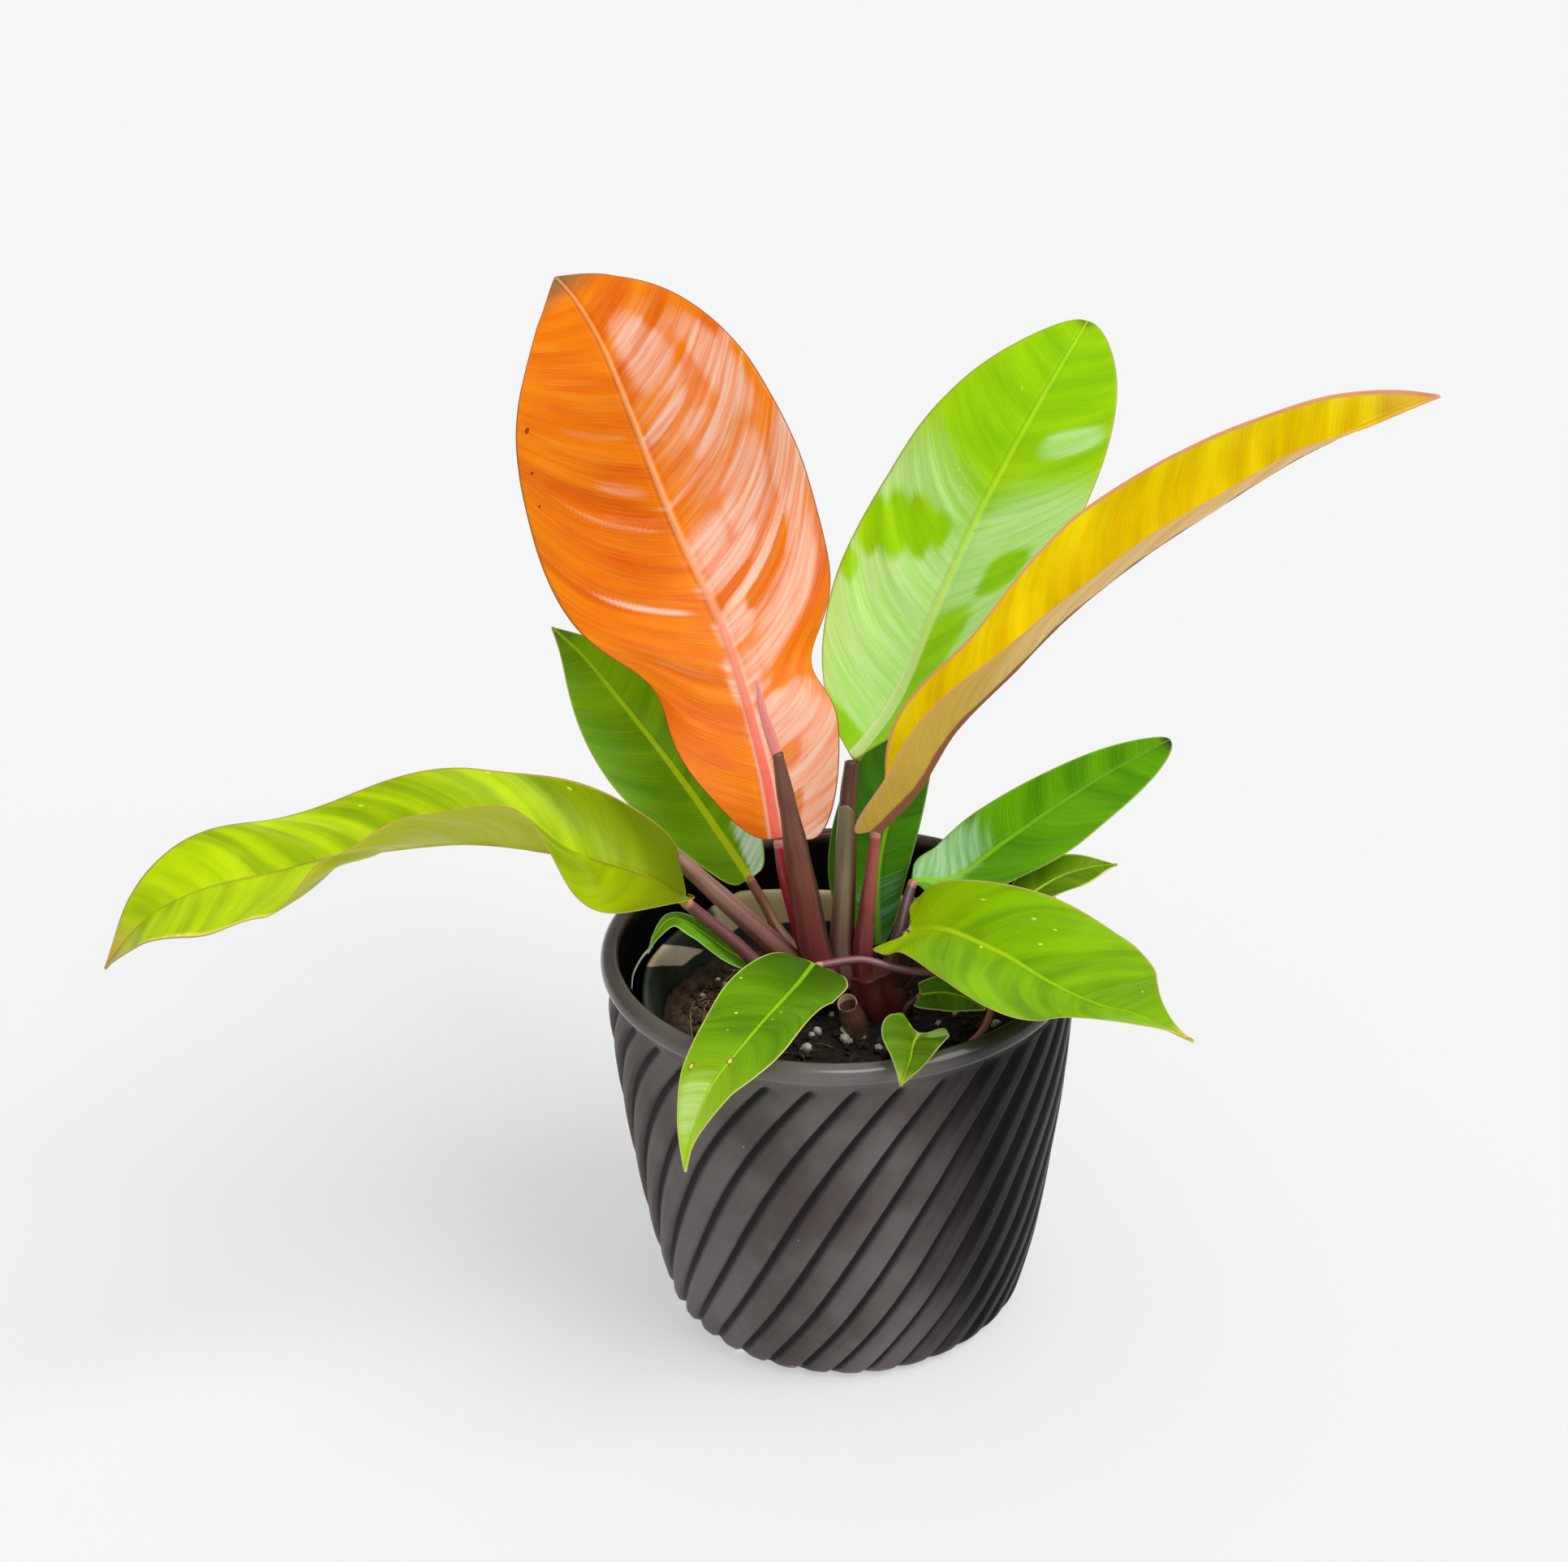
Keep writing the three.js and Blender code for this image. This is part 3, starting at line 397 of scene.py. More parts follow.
leaves = {
    "leaf_orange": dict(
        rib=[[-20, 16.5, 166], [-24.2, 30, 188.5], [-35.5, 54, 223.5], [-51.8, 78, 254.5], [-65.6, 98, 287],
             [-75.2, 115, 306], [-84.2, 130, 317], [-92, 142, 322.5]],
        face=[[0.3, -0.7, 0.5], [0.1, -0.75, 0.5], [-0.3, -0.7, 0.5], [-0.2, -0.55, 0.7]], width=[47.8, 48.4],
        peak=0.588, base=0.37, tip=0.89, lobe=[-1.7, 9], lean=-0.023, left=[-0.086, -0.032, 0.05],
        right=[0.3, 0.01, 0], dents=[[1, 0.263, -8, 0.06, 9.4], [-1, 0.283, -3, 0.09, 8.1]], quilt=0.5,
        quiltLength=15,
        deep=(224, 92, 0), bright=(255, 140, 0), streak=(255, 168, 60), line=(255, 186, 110), lineShare=0.14,
        midrib=(244, 108, 96), midribTip=(255, 190, 136), midribHalf=(2.1, 0.5), flank=(252, 184, 160),
        edge=(150, 76, 60), edgeWidth=0.35, tipTint=(148, 116, 70), tipShare=0.5, tipFrom=0.93,
        under=(226, 132, 84), sheen=(250, 152, 108), sheenPale=(254, 208, 186), sheenShare=0.95, breakup=0.2,
        slot="orange_leaf", rows=240, columns=46, spot=(120, 40, 10),
        areas=[[0.3, 0.6, 0.36, 0.5, 0.45], [0.08, 0.6, 0.14, 0.62, 1], [0.7, 0.45, 0.2, 0.45, 0.34],
               [0.79, 0.33, 0.085, 0.24, 0.75], [0.73, 0.77, 0.1, 0.16, 0.7], [0.64, 0.45, 0.05, 0.2, 0.5],
               [0.27, 0.98, 0.03, 0.4, -0.6]],
        spots=[[0.766, -0.89, 1.1], [0.696, -0.89, 0.7], [0.638, -0.89, 0.6]],
        patches=[[0.79, 0.5, 0.012, 0.3, -0.3], [0.7, 0.45, 0.01, 0.3, -0.35],
                 [0.606, 0.85, 0.026, 0.2, 0.6], [0.656, 0.24, 0.016, 0.26, 0.75],
                 [0.568, 0.56, 0.015, 0.26, 0.8], [0.548, 0.48, 0.006, 0.5, 1],
                 [0.456, 0.56, 0.051, 0.24, 0.9], [0.456, 0.18, 0.045, 0.2, 0.7],
                 [0.357, 0.5, 0.01, 0.45, 1], [0.36, 0.9, 0.07, 0.16, 0.9], [0.325, 0.85, 0.02, 0.2, 0.85],
                 [0.4, 0.26, 0.02, 0.3, 1], [0.328, 0.13, 0.03, 0.2, 1], [0.266, 0.58, 0.045, 0.4, 0.9],
                 [0.249, 0.07, 0.045, 0.2, 0.9], [0.165, 0.34, 0.039, 0.4, 1], [0.062, 0.54, 0.067, 0.5, 0.9],
                 [-0.018, 0.72, 0.067, 0.5, 0.85], [0.335, 0.5, 0.013, 0.26, -1],
                 [0.376, 0.2, 0.007, 0.18, -0.9], [0.206, 0.66, 0.025, 0.3, -0.95],
                 [0.101, 0.36, 0.018, 0.2, -0.7], [0.024, 0.43, 0.028, 0.14, -0.7],
                 [0.577, -0.26, 0.013, 0.2, 0.4], [0.524, -0.26, 0.009, 0.25, 0.35],
                 [0.364, -0.46, 0.007, 0.3, 0.75], [0.508, -0.4, 0.006, 0.35, 0.45],
                 [0.251, -0.48, 0.009, 0.3, 0.35], [0.668, -0.36, 0.009, 0.3, 0.3]]),
    "leaf_green": dict(
        rib=[[7, 34, 186], [22, 50, 200], [38, 68, 230], [52.5, 82, 255.5], [68, 94, 280], [79.5, 104, 296],
             [91, 116, 310]],
        face=[[-0.6, -0.5, 0.5], [-0.4, -0.6, 0.4]], width=[40.5, 43], peak=0.37, base=0.53, tip=0.7,
        lobe=[2.5, 10], lean=0.5, left=[0.52, 0.02, 0], right=[0.55, 0.2, 0], quilt=0.35,
        deep=(136, 200, 0), bright=(170, 226, 0), streak=(178, 230, 10), line=(190, 232, 40), lineShare=0.08,
        midrib=(206, 240, 150), midribTip=(196, 236, 20), midribHalf=(2.4, 0.45), flank=(226, 246, 180),
        edge=(176, 176, 60), tipTint=(90, 90, 30), tipFrom=0.97, under=(150, 190, 50), sheen=(178, 234, 116),
        sheenPale=(204, 242, 160), sheenShare=0.9, breakup=0.16, slot="lime_leaf", rows=200, columns=40,
        spot=(206, 240, 90), spots=[[0.585, -0.42, 0.7], [0.565, -0.3, 0.6], [0.8, -0.35, 0.8]],
        areas=[[0.27, -0.5, 0.3, 0.72, 1], [0.36, 0.55, 0.24, 0.66, 1], [0.36, -0.87, 0.055, 0.14, -1],
               [0.4, -0.7, 0.06, 0.2, -1], [0.44, -0.5, 0.055, 0.2, -1], [0.47, -0.3, 0.035, 0.12, -0.8],
               [0.27, -0.93, 0.03, 0.12, -0.8], [0.4, 0.54, 0.06, 0.2, -1], [0.25, 0.26, 0.1, 0.26, -1],
               [0.13, 0.3, 0.07, 0.35, -0.9], [0.02, 0, 0.035, 1, -0.8], [0.704, 0.62, 0.032, 0.32, 0.85]]),
    "leaf_yellow": dict(
        rib=[[13, 14, 169], [26, 14, 184], [39, 16, 205.5], [58, 20, 224], [75.5, 24, 241], [99, 28, 259],
             [124, 30, 275.5], [149.5, 30, 292], [175.5, 28, 305.5], [191, 24, 313]],
        face=[[-0.5, -0.3, 0.7], [-0.3, -0.6, 0.7], [-0.3, -0.55, 0.7]], width=[33, 40.5], peak=0.44,
        base=0.72, tip=0.92, lobe=[-6, 12.5], lean=0.27, left=[1.2, 1.55, 1.28, 1.2, 0.6],
        right=[1.2, 1.2, 1.2, 1.15, 0.85],
        quilt=0.6, quiltLength=16, deep=(202, 172, 0), bright=(238, 228, 8), streak=(232, 188, 8), glow=0.26,
        streakShare=0.3, line=(250, 232, 90), lineShare=0.22, midrib=(206, 120, 90), midribTip=(206, 140, 60),
        midribHalf=(2.0, 0.7), edge=(214, 150, 112), edgeWidth=1.2, tipTint=(232, 186, 80),
        under=(198, 154, 76), keelTint=(128, 60, 62), keelWide=2.2, slot="yellow_leaf", rows=200),
    "leaf_lime": dict(
        rib=[[-51, 2, 151], [-62, -2, 162], [-78, -6, 171], [-91, -10, 178], [-113.5, -16, 185.5],
             [-133, -22, 188.5], [-156, -30, 189.5], [-176.5, -38, 188.5], [-199.5, -46, 187],
             [-216, -52, 180.5], [-230, -56, 166]],
        face=[[-0.2, -0.1, 0.6], [0.1, -0.25, 1], [-0.4, -0.3, 0.85]], width=[32.5, 29], peak=0.42, base=0.24,
        tip=0.96, lobe=[13, -3.5], lean=0.82, left=[0.5, 0, 1.1, 1.05, 0.8, 0.3, 0.1, 0.3, 0.4],
        right=[1.05, 0.3, -0.15, 0.2, 0.15], quilt=0.55, quiltLength=14, deep=(122, 152, 0),
        bright=(194, 222, 0), streak=(202, 224, 6), line=(190, 216, 20), glow=0.15, midrib=(132, 128, 8),
        midribTip=(150, 140, 20),
        midribHalf=(0.8, 0.5), edge=(176, 150, 84), tipTint=(206, 150, 90), under=(176, 178, 40),
        keelTint=(166, 92, 70), slot="lime_leaf", baseTint=(108, 122, 0), baseReach=0.26, rows=200,
        # on this leaf the sheen colours lie as a pale yellow band along the left margin
        sheen=(214, 214, 70), sheenPale=(230, 224, 120), breakup=0.2, areas=[[0.66, -1.02, 0.3, 0.09, 1]],
        spot=(226, 226, 90),
        spots=[[0.446, 0.8, 0.6], [0.246, 0.96, 0.6], [0.142, 0.89, 0.6]]),
    "leaf_back_left": dict(
        rib=[[-30, 34, 141], [-39, 42, 153], [-54, 56, 171], [-70, 70, 188], [-86, 83, 204], [-97, 91, 212]],
        face=[[0.3, -0.8, 0.5]], width=[21.5, 20], peak=0.46, base=0.64, tip=1.05, lobe=[3, 3], lean=0.05,
        left=[0.3, 0.15, 0.05], right=[0.3, 0.15, 0.05], deep=(78, 132, 2), bright=(112, 168, 6),
        streak=(128, 180, 24), midrib=(176, 200, 20), midribHalf=(1.7, 0.5), edge=(150, 170, 90),
        tipTint=(70, 80, 40), sheen=(190, 228, 200), slot="green_leaf",
        glow=0.3, sheenPale=(214, 240, 224), patches=[[0.02, 0.7, 0.16, 0.5, 0.9]]),
    "leaf_right": dict(
        rib=[[26, 26, 143], [41, 32, 140.5], [58, 40, 149], [76, 48, 158], [96, 58, 166], [118, 66, 174]],
        face=[[-0.3, -0.45, 0.75]], width=[15.5, 22], peak=0.35, base=0.66, tip=0.62, lobe=[2, 6], lean=0.27,
        left=[0.3, 0, 0], right=[0.55, 0.25, 0], deep=(72, 136, 0), bright=(108, 176, 4),
        streak=(124, 186, 20), midrib=(150, 210, 10), midribTip=(120, 180, 10), midribHalf=(1.3, 0.4),
        edge=(150, 176, 90),
        tipTint=(60, 40, 34), tipFrom=0.95, tipShare=0.5, sheen=(138, 196, 122), sheenPale=(184, 222, 176),
        slot="green_leaf", breakup=0.3, areas=[[0.12, -0.5, 0.19, 0.62, 0.9]]),
    "leaf_right_front": dict(
        rib=[[23.5, 3.5, 135.6], [34.5, -6, 142], [52, -23, 142.5], [67, -40, 141], [80.3, -51.5, 140],
             [92.5, -60, 140.8], [109, -67, 135.5]],
        face=[[0, -0.3, 0.9], [0.3, -0.15, 0.8]], width=[34, 36.5], peak=0.49, base=0.53, tip=1.62,
        lobe=[10.5, 14.5], lean=0.31, left=[0.45, 0.05, 0], right=[0.32, 0.3, 0.55], quilt=0.35,
        deep=(98, 148, 0), bright=(144, 198, 0), streak=(160, 208, 8), midrib=(174, 208, 20),
        midribHalf=(1.4, 0.4), edge=(206, 178, 116), tipTint=(235, 220, 60), tipFrom=0.9, tipShare=0.5,
        slot="lime_leaf", baseTint=(176, 212, 6), baseReach=0.22, spot=(220, 236, 90),
        spots=[[0.176, -0.66, 0.6], [0.307, -0.6, 0.6], [0.361, -0.6, 0.5], [0.391, -0.34, 0.7],
               [0.287, 0.04, 0.6], [0.76, -0.64, 0.6]]),
    "leaf_front_left": dict(
        rib=[[-9, -20, 139], [-14.5, -31, 138], [-22, -52, 142], [-30.5, -72, 143.5], [-41.5, -84, 135.5],
             [-47.5, -89, 123], [-51, -92, 109]],
        face=[[0, -0.45, 0.85], [-0.5, -0.55, 0.55]], width=[19.4, 17.3], peak=0.29, base=0.44, tip=0.87,
        glow=0.24, lobe=[4, 1], lean=0.38, left=[0.35, 0.4, 0.85], right=[0.3, 0.05, 0.1], deep=(74, 118, 0),
        bright=(104, 156, 2), streak=(124, 172, 16), midrib=(134, 184, 16), midribHalf=(0.85, 0.35),
        edge=(196, 204, 110), tipTint=(190, 232, 30), tipFrom=0.45, tipShare=0.4,
        baseTint=(56, 92, 0), baseReach=0.3, slot="lime_leaf",
        sheen=(176, 214, 96), sheenPale=(206, 230, 150), breakup=0.3, areas=[[0.8, 0.4, 0.13, 0.6, 0.6]],
        spot=(224, 232, 120), scars=[[0.673, 0.78, 0.9], [0.632, -0.01, 1.0]],
        spots=[[0.199, 0.87, 0.5], [0.395, 0.54, 0.6], [0.512, 0.48, 0.5], [0.365, -0.2, 0.6],
               [0.425, -0.18, 0.5]]),
    "leaf_heart": dict(
        rib=[[23, -58, 134.5], [21, -69, 138.5], [19, -81, 139.5], [16, -89, 136.5]],
        face=[[0.1, -0.4, 0.9], [-0.1, -0.7, 0.55]], width=[10.5, 11], peak=0.33, base=0.6, tip=1.1,
        lobe=[9, 9.5], lean=0.12, left=[0.45, 0.5], right=[0.5, 0.35], rows=90, columns=26, keel=0.8,
        deep=(64, 100, 4), bright=(100, 144, 8), streak=(120, 160, 20), midribHalf=(0.6, 0.3),
        edge=(150, 170, 90), tipTint=(206, 200, 60), tipFrom=0.8, slot="green_leaf", sheen=(140, 176, 80),
        sheenPale=(166, 194, 110), breakup=0.2, areas=[[0.1, -0.7, 0.16, 0.4, 0.8]]),
    "leaf_inner_left": dict(
        rib=[[-30, 8, 122], [-40, 6, 131], [-49, 3, 141], [-56, 1, 145], [-61, -2, 141], [-64, -4, 135]],
        face=[[0.3, -0.2, 0.9], [-0.3, -0.3, 0.9]], width=[7, 4], peak=0.32, base=0.6, tip=1.3, lobe=[0, 0],
        lean=0.2, left=[0.2, 0.05], right=[0.2, 0.05], rows=90, columns=20, keel=0.6, deep=(76, 140, 10),
        bright=(104, 170, 20), streak=(130, 190, 40), midribHalf=(0.6, 0.3), edge=(180, 206, 140),
        tipTint=(220, 220, 190), slot="green_leaf"),
    "leaf_back": dict(
        rib=[[14, 26, 118], [14, 33, 140], [19, 41, 162], [28, 50, 182], [38, 58, 196]],
        face=[[0.3, -0.9, 0.25]], width=[22, 11], peak=0.48, base=0.55, tip=0.95, lobe=[-2, -1], lean=0,
        left=[0.1, 0.3, 0.1], right=[0.1, 0.1, 0.05], rows=120, deep=(46, 104, 6), bright=(76, 140, 10),
        streak=(90, 150, 24), midrib=(110, 160, 40), midribHalf=(1.2, 0.4), edge=(120, 160, 90),
        sheen=(90, 146, 120), sheenPale=(130, 176, 150), slot="dark_leaf",
        patches=[[0.12, 0.3, 0.16, 0.9, 0.6]]),
    "leaf_right_small": dict(
        rib=[[60, 17, 137], [69, 22, 141], [78, 28, 142.5], [88, 32, 143], [97, 36, 141.5]],
        face=[[-0.2, -0.2, 0.9], [0, -0.45, 0.9]], width=[8.5, 8.5], peak=0.3, base=0.5, tip=1.2, lobe=[1, 1],
        lean=0.4, left=[0.2, 0.05], right=[0.3, 0.05], rows=90, columns=24, keel=0.7, deep=(76, 116, 4),
        bright=(112, 150, 10), streak=(140, 170, 30), midribHalf=(0.7, 0.3), tipTint=(90, 70, 40),
        slot="dark_leaf"),
    "leaf_low": dict(
        rib=[[27, -1, 114], [35, -5, 117], [42, -9, 117], [48, -13, 115]], face=[[0, -0.5, 0.85]],
        width=[6, 7], peak=0.4, base=0.5, tip=1, lobe=[3, 3], lean=0.2, left=[0.2, 0.1], right=[0.2, 0.1],
        rows=70, columns=20, keel=0.6, deep=(60, 110, 12), bright=(90, 140, 24), streak=(120, 160, 60),
        midribHalf=(0.5, 0.3), slot="green_leaf"),
}


def leafSurface(spec, rows, columns):
    # A blade starts on its midrib at run = length*s + (lean*half*share - back)*out^1.3 and goes out sideways
    # by the half width, folded up by an angle. share = sin(pi*s^skew) to a power, so it is 0 at both ends;
    # back is a short bump near lobePeak that carries the base lobes behind the joint.
    s, v = np.linspace(0, 1, rows + 1) ** 1.15, np.linspace(-1, 1, 2 * columns + 1)
    s, v = np.meshgrid(s, np.sign(v) * np.abs(v) ** 1.35, indexing="ij")
    out, right = np.abs(v), v > 0
    path = pathThrough(spec["rib"])
    length = path[2][-1]
    lobePeak = 0.05  # where along the midrib the lobes start, as a share of its length
    half = np.where(right, spec["width"][1], spec["width"][0])
    bulge = np.sin(math.pi * np.clip(s, 1e-6, 1 - 1e-6) ** (math.log(0.5) / math.log(spec["peak"])))
    share = bulge ** (spec["base"] + (spec["tip"] - spec["base"]) * s)
    wide = half * share + 1.1 - 0.7 * s
    back = np.where(right, spec["lobe"][1], spec["lobe"][0]) * (s / lobePeak) * np.exp(1 - s / lobePeak)
    run = length * s + (spec["lean"] * half * share - back) * out**1.3
    place, heading = readPath(path, run)
    face = squareTo(spread(spec["face"], run / length), heading)
    across = np.cross(heading, face)
    fold = np.where(right, spread(spec["right"], s), spread(spec["left"], s))
    rounded = np.sqrt(out**2 + 0.0016) - 0.04
    reach, rise = wide * out * np.cos(fold), wide * rounded * np.sin(fold)
    for side, at, lift, size, bite in spec["dents"]:  # soft bites in the margin that lift it out of its plane
        near = (np.sign(v) == side) * np.exp(-(((s - at) / size) ** 2)) * out**2
        reach, rise = reach - bite * near, rise + lift * near
    place = place + across * (np.sign(v) * reach)[..., None] + face * rise[..., None]
    # side veins leave the midrib and curve forward; order numbers them by where they leave it
    far, most = wide * out, max(spec["width"])
    order = run - far * 0.45 - 0.5 * far**3 / most**2
    return place, s, v, far, wide, order, length


def slopes(place):
    return unit(np.cross(np.gradient(place, axis=1), np.gradient(place, axis=0)))


def leafPatches(spec, s, order, v, length):
    # Where the painted sheen lies, as soft rounded patches from 0 to 1: gap = (|along|^3 + |across|^3)^(1/3)
    # in shares of a patch's half size.
    # Patches follow the veins and areas the blade; those of negative strength are cut out of the rest.
    more, less = np.zeros_like(v), np.zeros_like(v)
    for along, listed in ((order / length, spec["patches"]), (s, spec["areas"])):
        for at, side, size, breadth, strength in listed:
            gap = (np.abs((along - at) / size) ** 3 + np.abs((v - side) / breadth) ** 3) ** (1 / 3)
            soft = abs(strength) * smooth((1.4 - gap) / 0.9)
            more, less = (np.maximum(more, soft), less) if strength > 0 else (more, np.maximum(less, soft))
    return np.clip(more - less, 0, 1)


def leafFinish(name, look, seed, blade):
    # colour in layers: bands (painted fold shade), streaks, vein lines, base, tip, painted sheen, midrib,
    # underside, scars, spots, margin
    material, s, shader = newFinish(name, look["rough"], Subsurface_Weight=0.12, Subsurface_Scale=0.0015,
                                    Subsurface_Radius=(1.0, 0.8, 0.25), Specular_IOR_Level=look["gloss"],
                                    Emission_Strength=look["glow"])
    place, vein = s.mark("place").outputs["Vector"], s.mark("vein").outputs["Vector"]
    patch = s.mark("patch").outputs["Fac"]
    along = s.split(place)[0]
    face = s.split(vein)[2]
    veins = s.use(groups["veins"], Vein=vein, Spacing=look["spacing"], Seed=float(seed))
    # painted fold shade: the bands set the colour between deep and bright, over a random drift of tone
    tone = s.plus(s.times(s.drift(s.here(), 24.0), 0.35), s.times(veins["Bands"], 0.65))
    colour = s.blend(tone, look["deep"], look["bright"])
    colour = s.over(colour, look["streak"], s.span(veins["Streaks"], 0.45, 1.0), look["streakShare"])
    colour = s.over(colour, look["line"], veins["Lines"], look["lineShare"])
    if "baseTint" in look:
        colour = s.over(colour, look["baseTint"], s.span(along, look["baseReach"], 0.0))
    colour = s.over(colour, look["tipTint"], s.span(along, look["tipFrom"], 1.0), look["tipShare"] * 2)
    # painted sheen: the pale sheen colours laid over the blade where the patch mark says
    shine = s.use(groups["sheen"], Patch=patch, Streaks=veins["Streaks"], Bands=veins["Bands"],
                  Breakup=look["breakup"])["Mask"]
    pale = s.blend(veins["Streaks"], look["sheen"], look["sheenPale"])
    colour = s.mix(s.times(shine, look["sheenShare"]), colour, pale)
    ribBase, ribTip = look["midribHalf"]
    rib = s.use(groups["midrib"], Vein=vein, Place=place, Base=ribBase, Tip=ribTip)
    ribColour = s.blend(s.span(along, 0.0, 0.75), look["midrib"], look["midribTip"])
    colour = s.mix(s.times(rib["Mask"], s.span(along, 0.2, 0.95, 0.9, 0.45)), colour, ribColour)
    if "flank" in look:
        colour = s.over(colour, look["flank"], rib["Flanks"], s.span(along, 0.45, 0.1, 0.0, 0.8))
    below = s.mix(s.times(veins["Streaks"], 0.2), paint(*look["under"]), colour)
    if "keelTint" in look:
        keel = s.use(groups["midrib"], Vein=vein, Place=place, Base=ribBase * look["keelWide"],
                     Tip=ribTip * look["keelWide"])["Mask"]
        below = s.over(below, look["keelTint"], keel, 0.85)
    colour = s.mix(s.span(face, 0.2, -0.2), colour, below)
    for at, side, size in look["scars"]:  # a brown ring with a pale middle
        for grow, tint in ((1.5, (120, 92, 20)), (0.9, look["spot"])):
            scar = s.use(groups["spot"], Place=place, Spot=(at, side, size * grow), Blade=blade)["Mask"]
            colour = s.over(colour, tint, scar, 0.8)
    for spot in look["spots"]:
        mask = s.use(groups["spot"], Place=place, Spot=spot, Blade=blade)["Mask"]
        colour = s.over(colour, look["spot"], mask, 0.85)
    rim = s.use(groups["margin"], Place=place, Width=look["edgeWidth"])["Mask"]
    colour = s.over(colour, look["edge"], rim)
    s.put(shader["Base Color"], colour)
    s.put(shader["Emission Color"], colour)  # painted glow in its own colour, for the light through the thin blade
    s.put(shader["Roughness"], s.minus(look["rough"] + 0.05, s.times(veins["Streaks"], 0.1)))
    relief = s.plus(s.times(veins["Lines"], -0.5), s.times(veins["Streaks"], 0.8))
    relief = s.plus(relief, s.times(rib["Flanks"], -0.5))
    s.put(shader["Normal"], s.bump(relief, 0.4, 0.0002))
    return material


def makeLeaf(name, spec, seed):
    # the blade is a closed sheet, thin at its margin, with a shallow ridge above the midrib and a keel below
    look = {**leafLook, **spec}
    place, s, v, far, wide, order, length = leafSurface(look, look["rows"], look["columns"])
    out = np.abs(v)
    bed = slopes(place)
    plump = (4 * out * (1 - out)) ** 0.7 * np.sin(math.pi * s) ** 0.5
    line = np.stack([order + np.where(v > 0, 300, 0) + seed * 40, far * 0.12], -1)
    lift = look["quilt"] * plump * ripples(line, look["quiltLength"], seed + 5)
    lift += 0.25 * look["quilt"] * plump * ripples(line, look["quiltLength"] * 0.36, seed + 9)
    place = place + bed * lift[..., None]
    bed = slopes(place)
    ribBase, ribTip = look["midribHalf"]
    ribHalf = ribBase + (ribTip - ribBase) * s**0.8
    ridge = 0.35 * np.exp(-((far / ribHalf) ** 2)) - 0.3 * np.exp(-((far / ribHalf - 1.7) ** 2) * 3)
    keel = look["keel"] * (1 - 0.75 * s) * np.exp(-((far / (look["keelHalf"] * (1 - 0.7 * s))) ** 2) * 1.4)
    thick = look["thick"] / 2 * (1 - 0.8 * out**8)
    ends = smooth(s / 0.01) * smooth((1 - s) / 0.01)
    above = place + bed * (thick + ridge * ends)[..., None]
    below = place - bed * (thick + keel)[..., None]
    points = np.concatenate([above.reshape(-1, 3), below.reshape(-1, 3)])
    r, c = s.shape
    index = np.arange(r * c).reshape(r, c)
    loop = np.concatenate([index[:-1, 0], index[-1, :-1], index[:0:-1, -1], index[0, :0:-1]])
    ahead = np.roll(loop, -1)
    top = gridQuads(r, c)
    rim = np.stack([loop, ahead, ahead + r * c, loop + r * c], -1)
    margin = np.minimum(wide * (1 - out), np.minimum(s, 1 - s) * length + 0.3)
    both = lambda field: np.concatenate([field.ravel(), field.ravel()])
    sides = np.repeat([1.0, -1.0], r * c)
    marks = {"place": np.stack([both(s), both(v), both(margin)], -1),
             "vein": np.stack([both(order), both(np.sign(v) * far), sides], -1),
             # the patch mark holds where the painted sheen lies
             "patch": both(leafPatches(look, s, order, v, length))}
    finish = leafFinish(name + "Finish", look, seed, (length, float(np.mean(look["width"])), 0))
    makePiece(name + "_blade", points, [top, top[:, ::-1] + r * c, rim], finish, [name], marks)


for number, (name, spec) in enumerate(leaves.items()):
    makeLeaf(name, spec, number)
print("leaves made:", len(leaves))


# stalks, sheaths and the crown

# What a stalk has unless it says otherwise. Paths and radii are mm, from the blade or the tip to the foot.
# Angles are degrees: keels are [angle, width, height, start, end], dark is (angle, colour) of painted shade
# on one side, hollow is (angle, reach) of a groove with painted shade in it, lobes are (number, depth) and a
# mouth is (depth, wall, slant, angle of the side cut lower).
stalkLook = dict(rows=90, sides=28, keels=(), top=(120, 60, 58), foot=(96, 44, 46), streak=(150, 92, 84),
                 ring=(226, 150, 140), ringLength=1.8, rough=0.34, slot="maroon_stalk", mouth=None,
                 lobes=None)

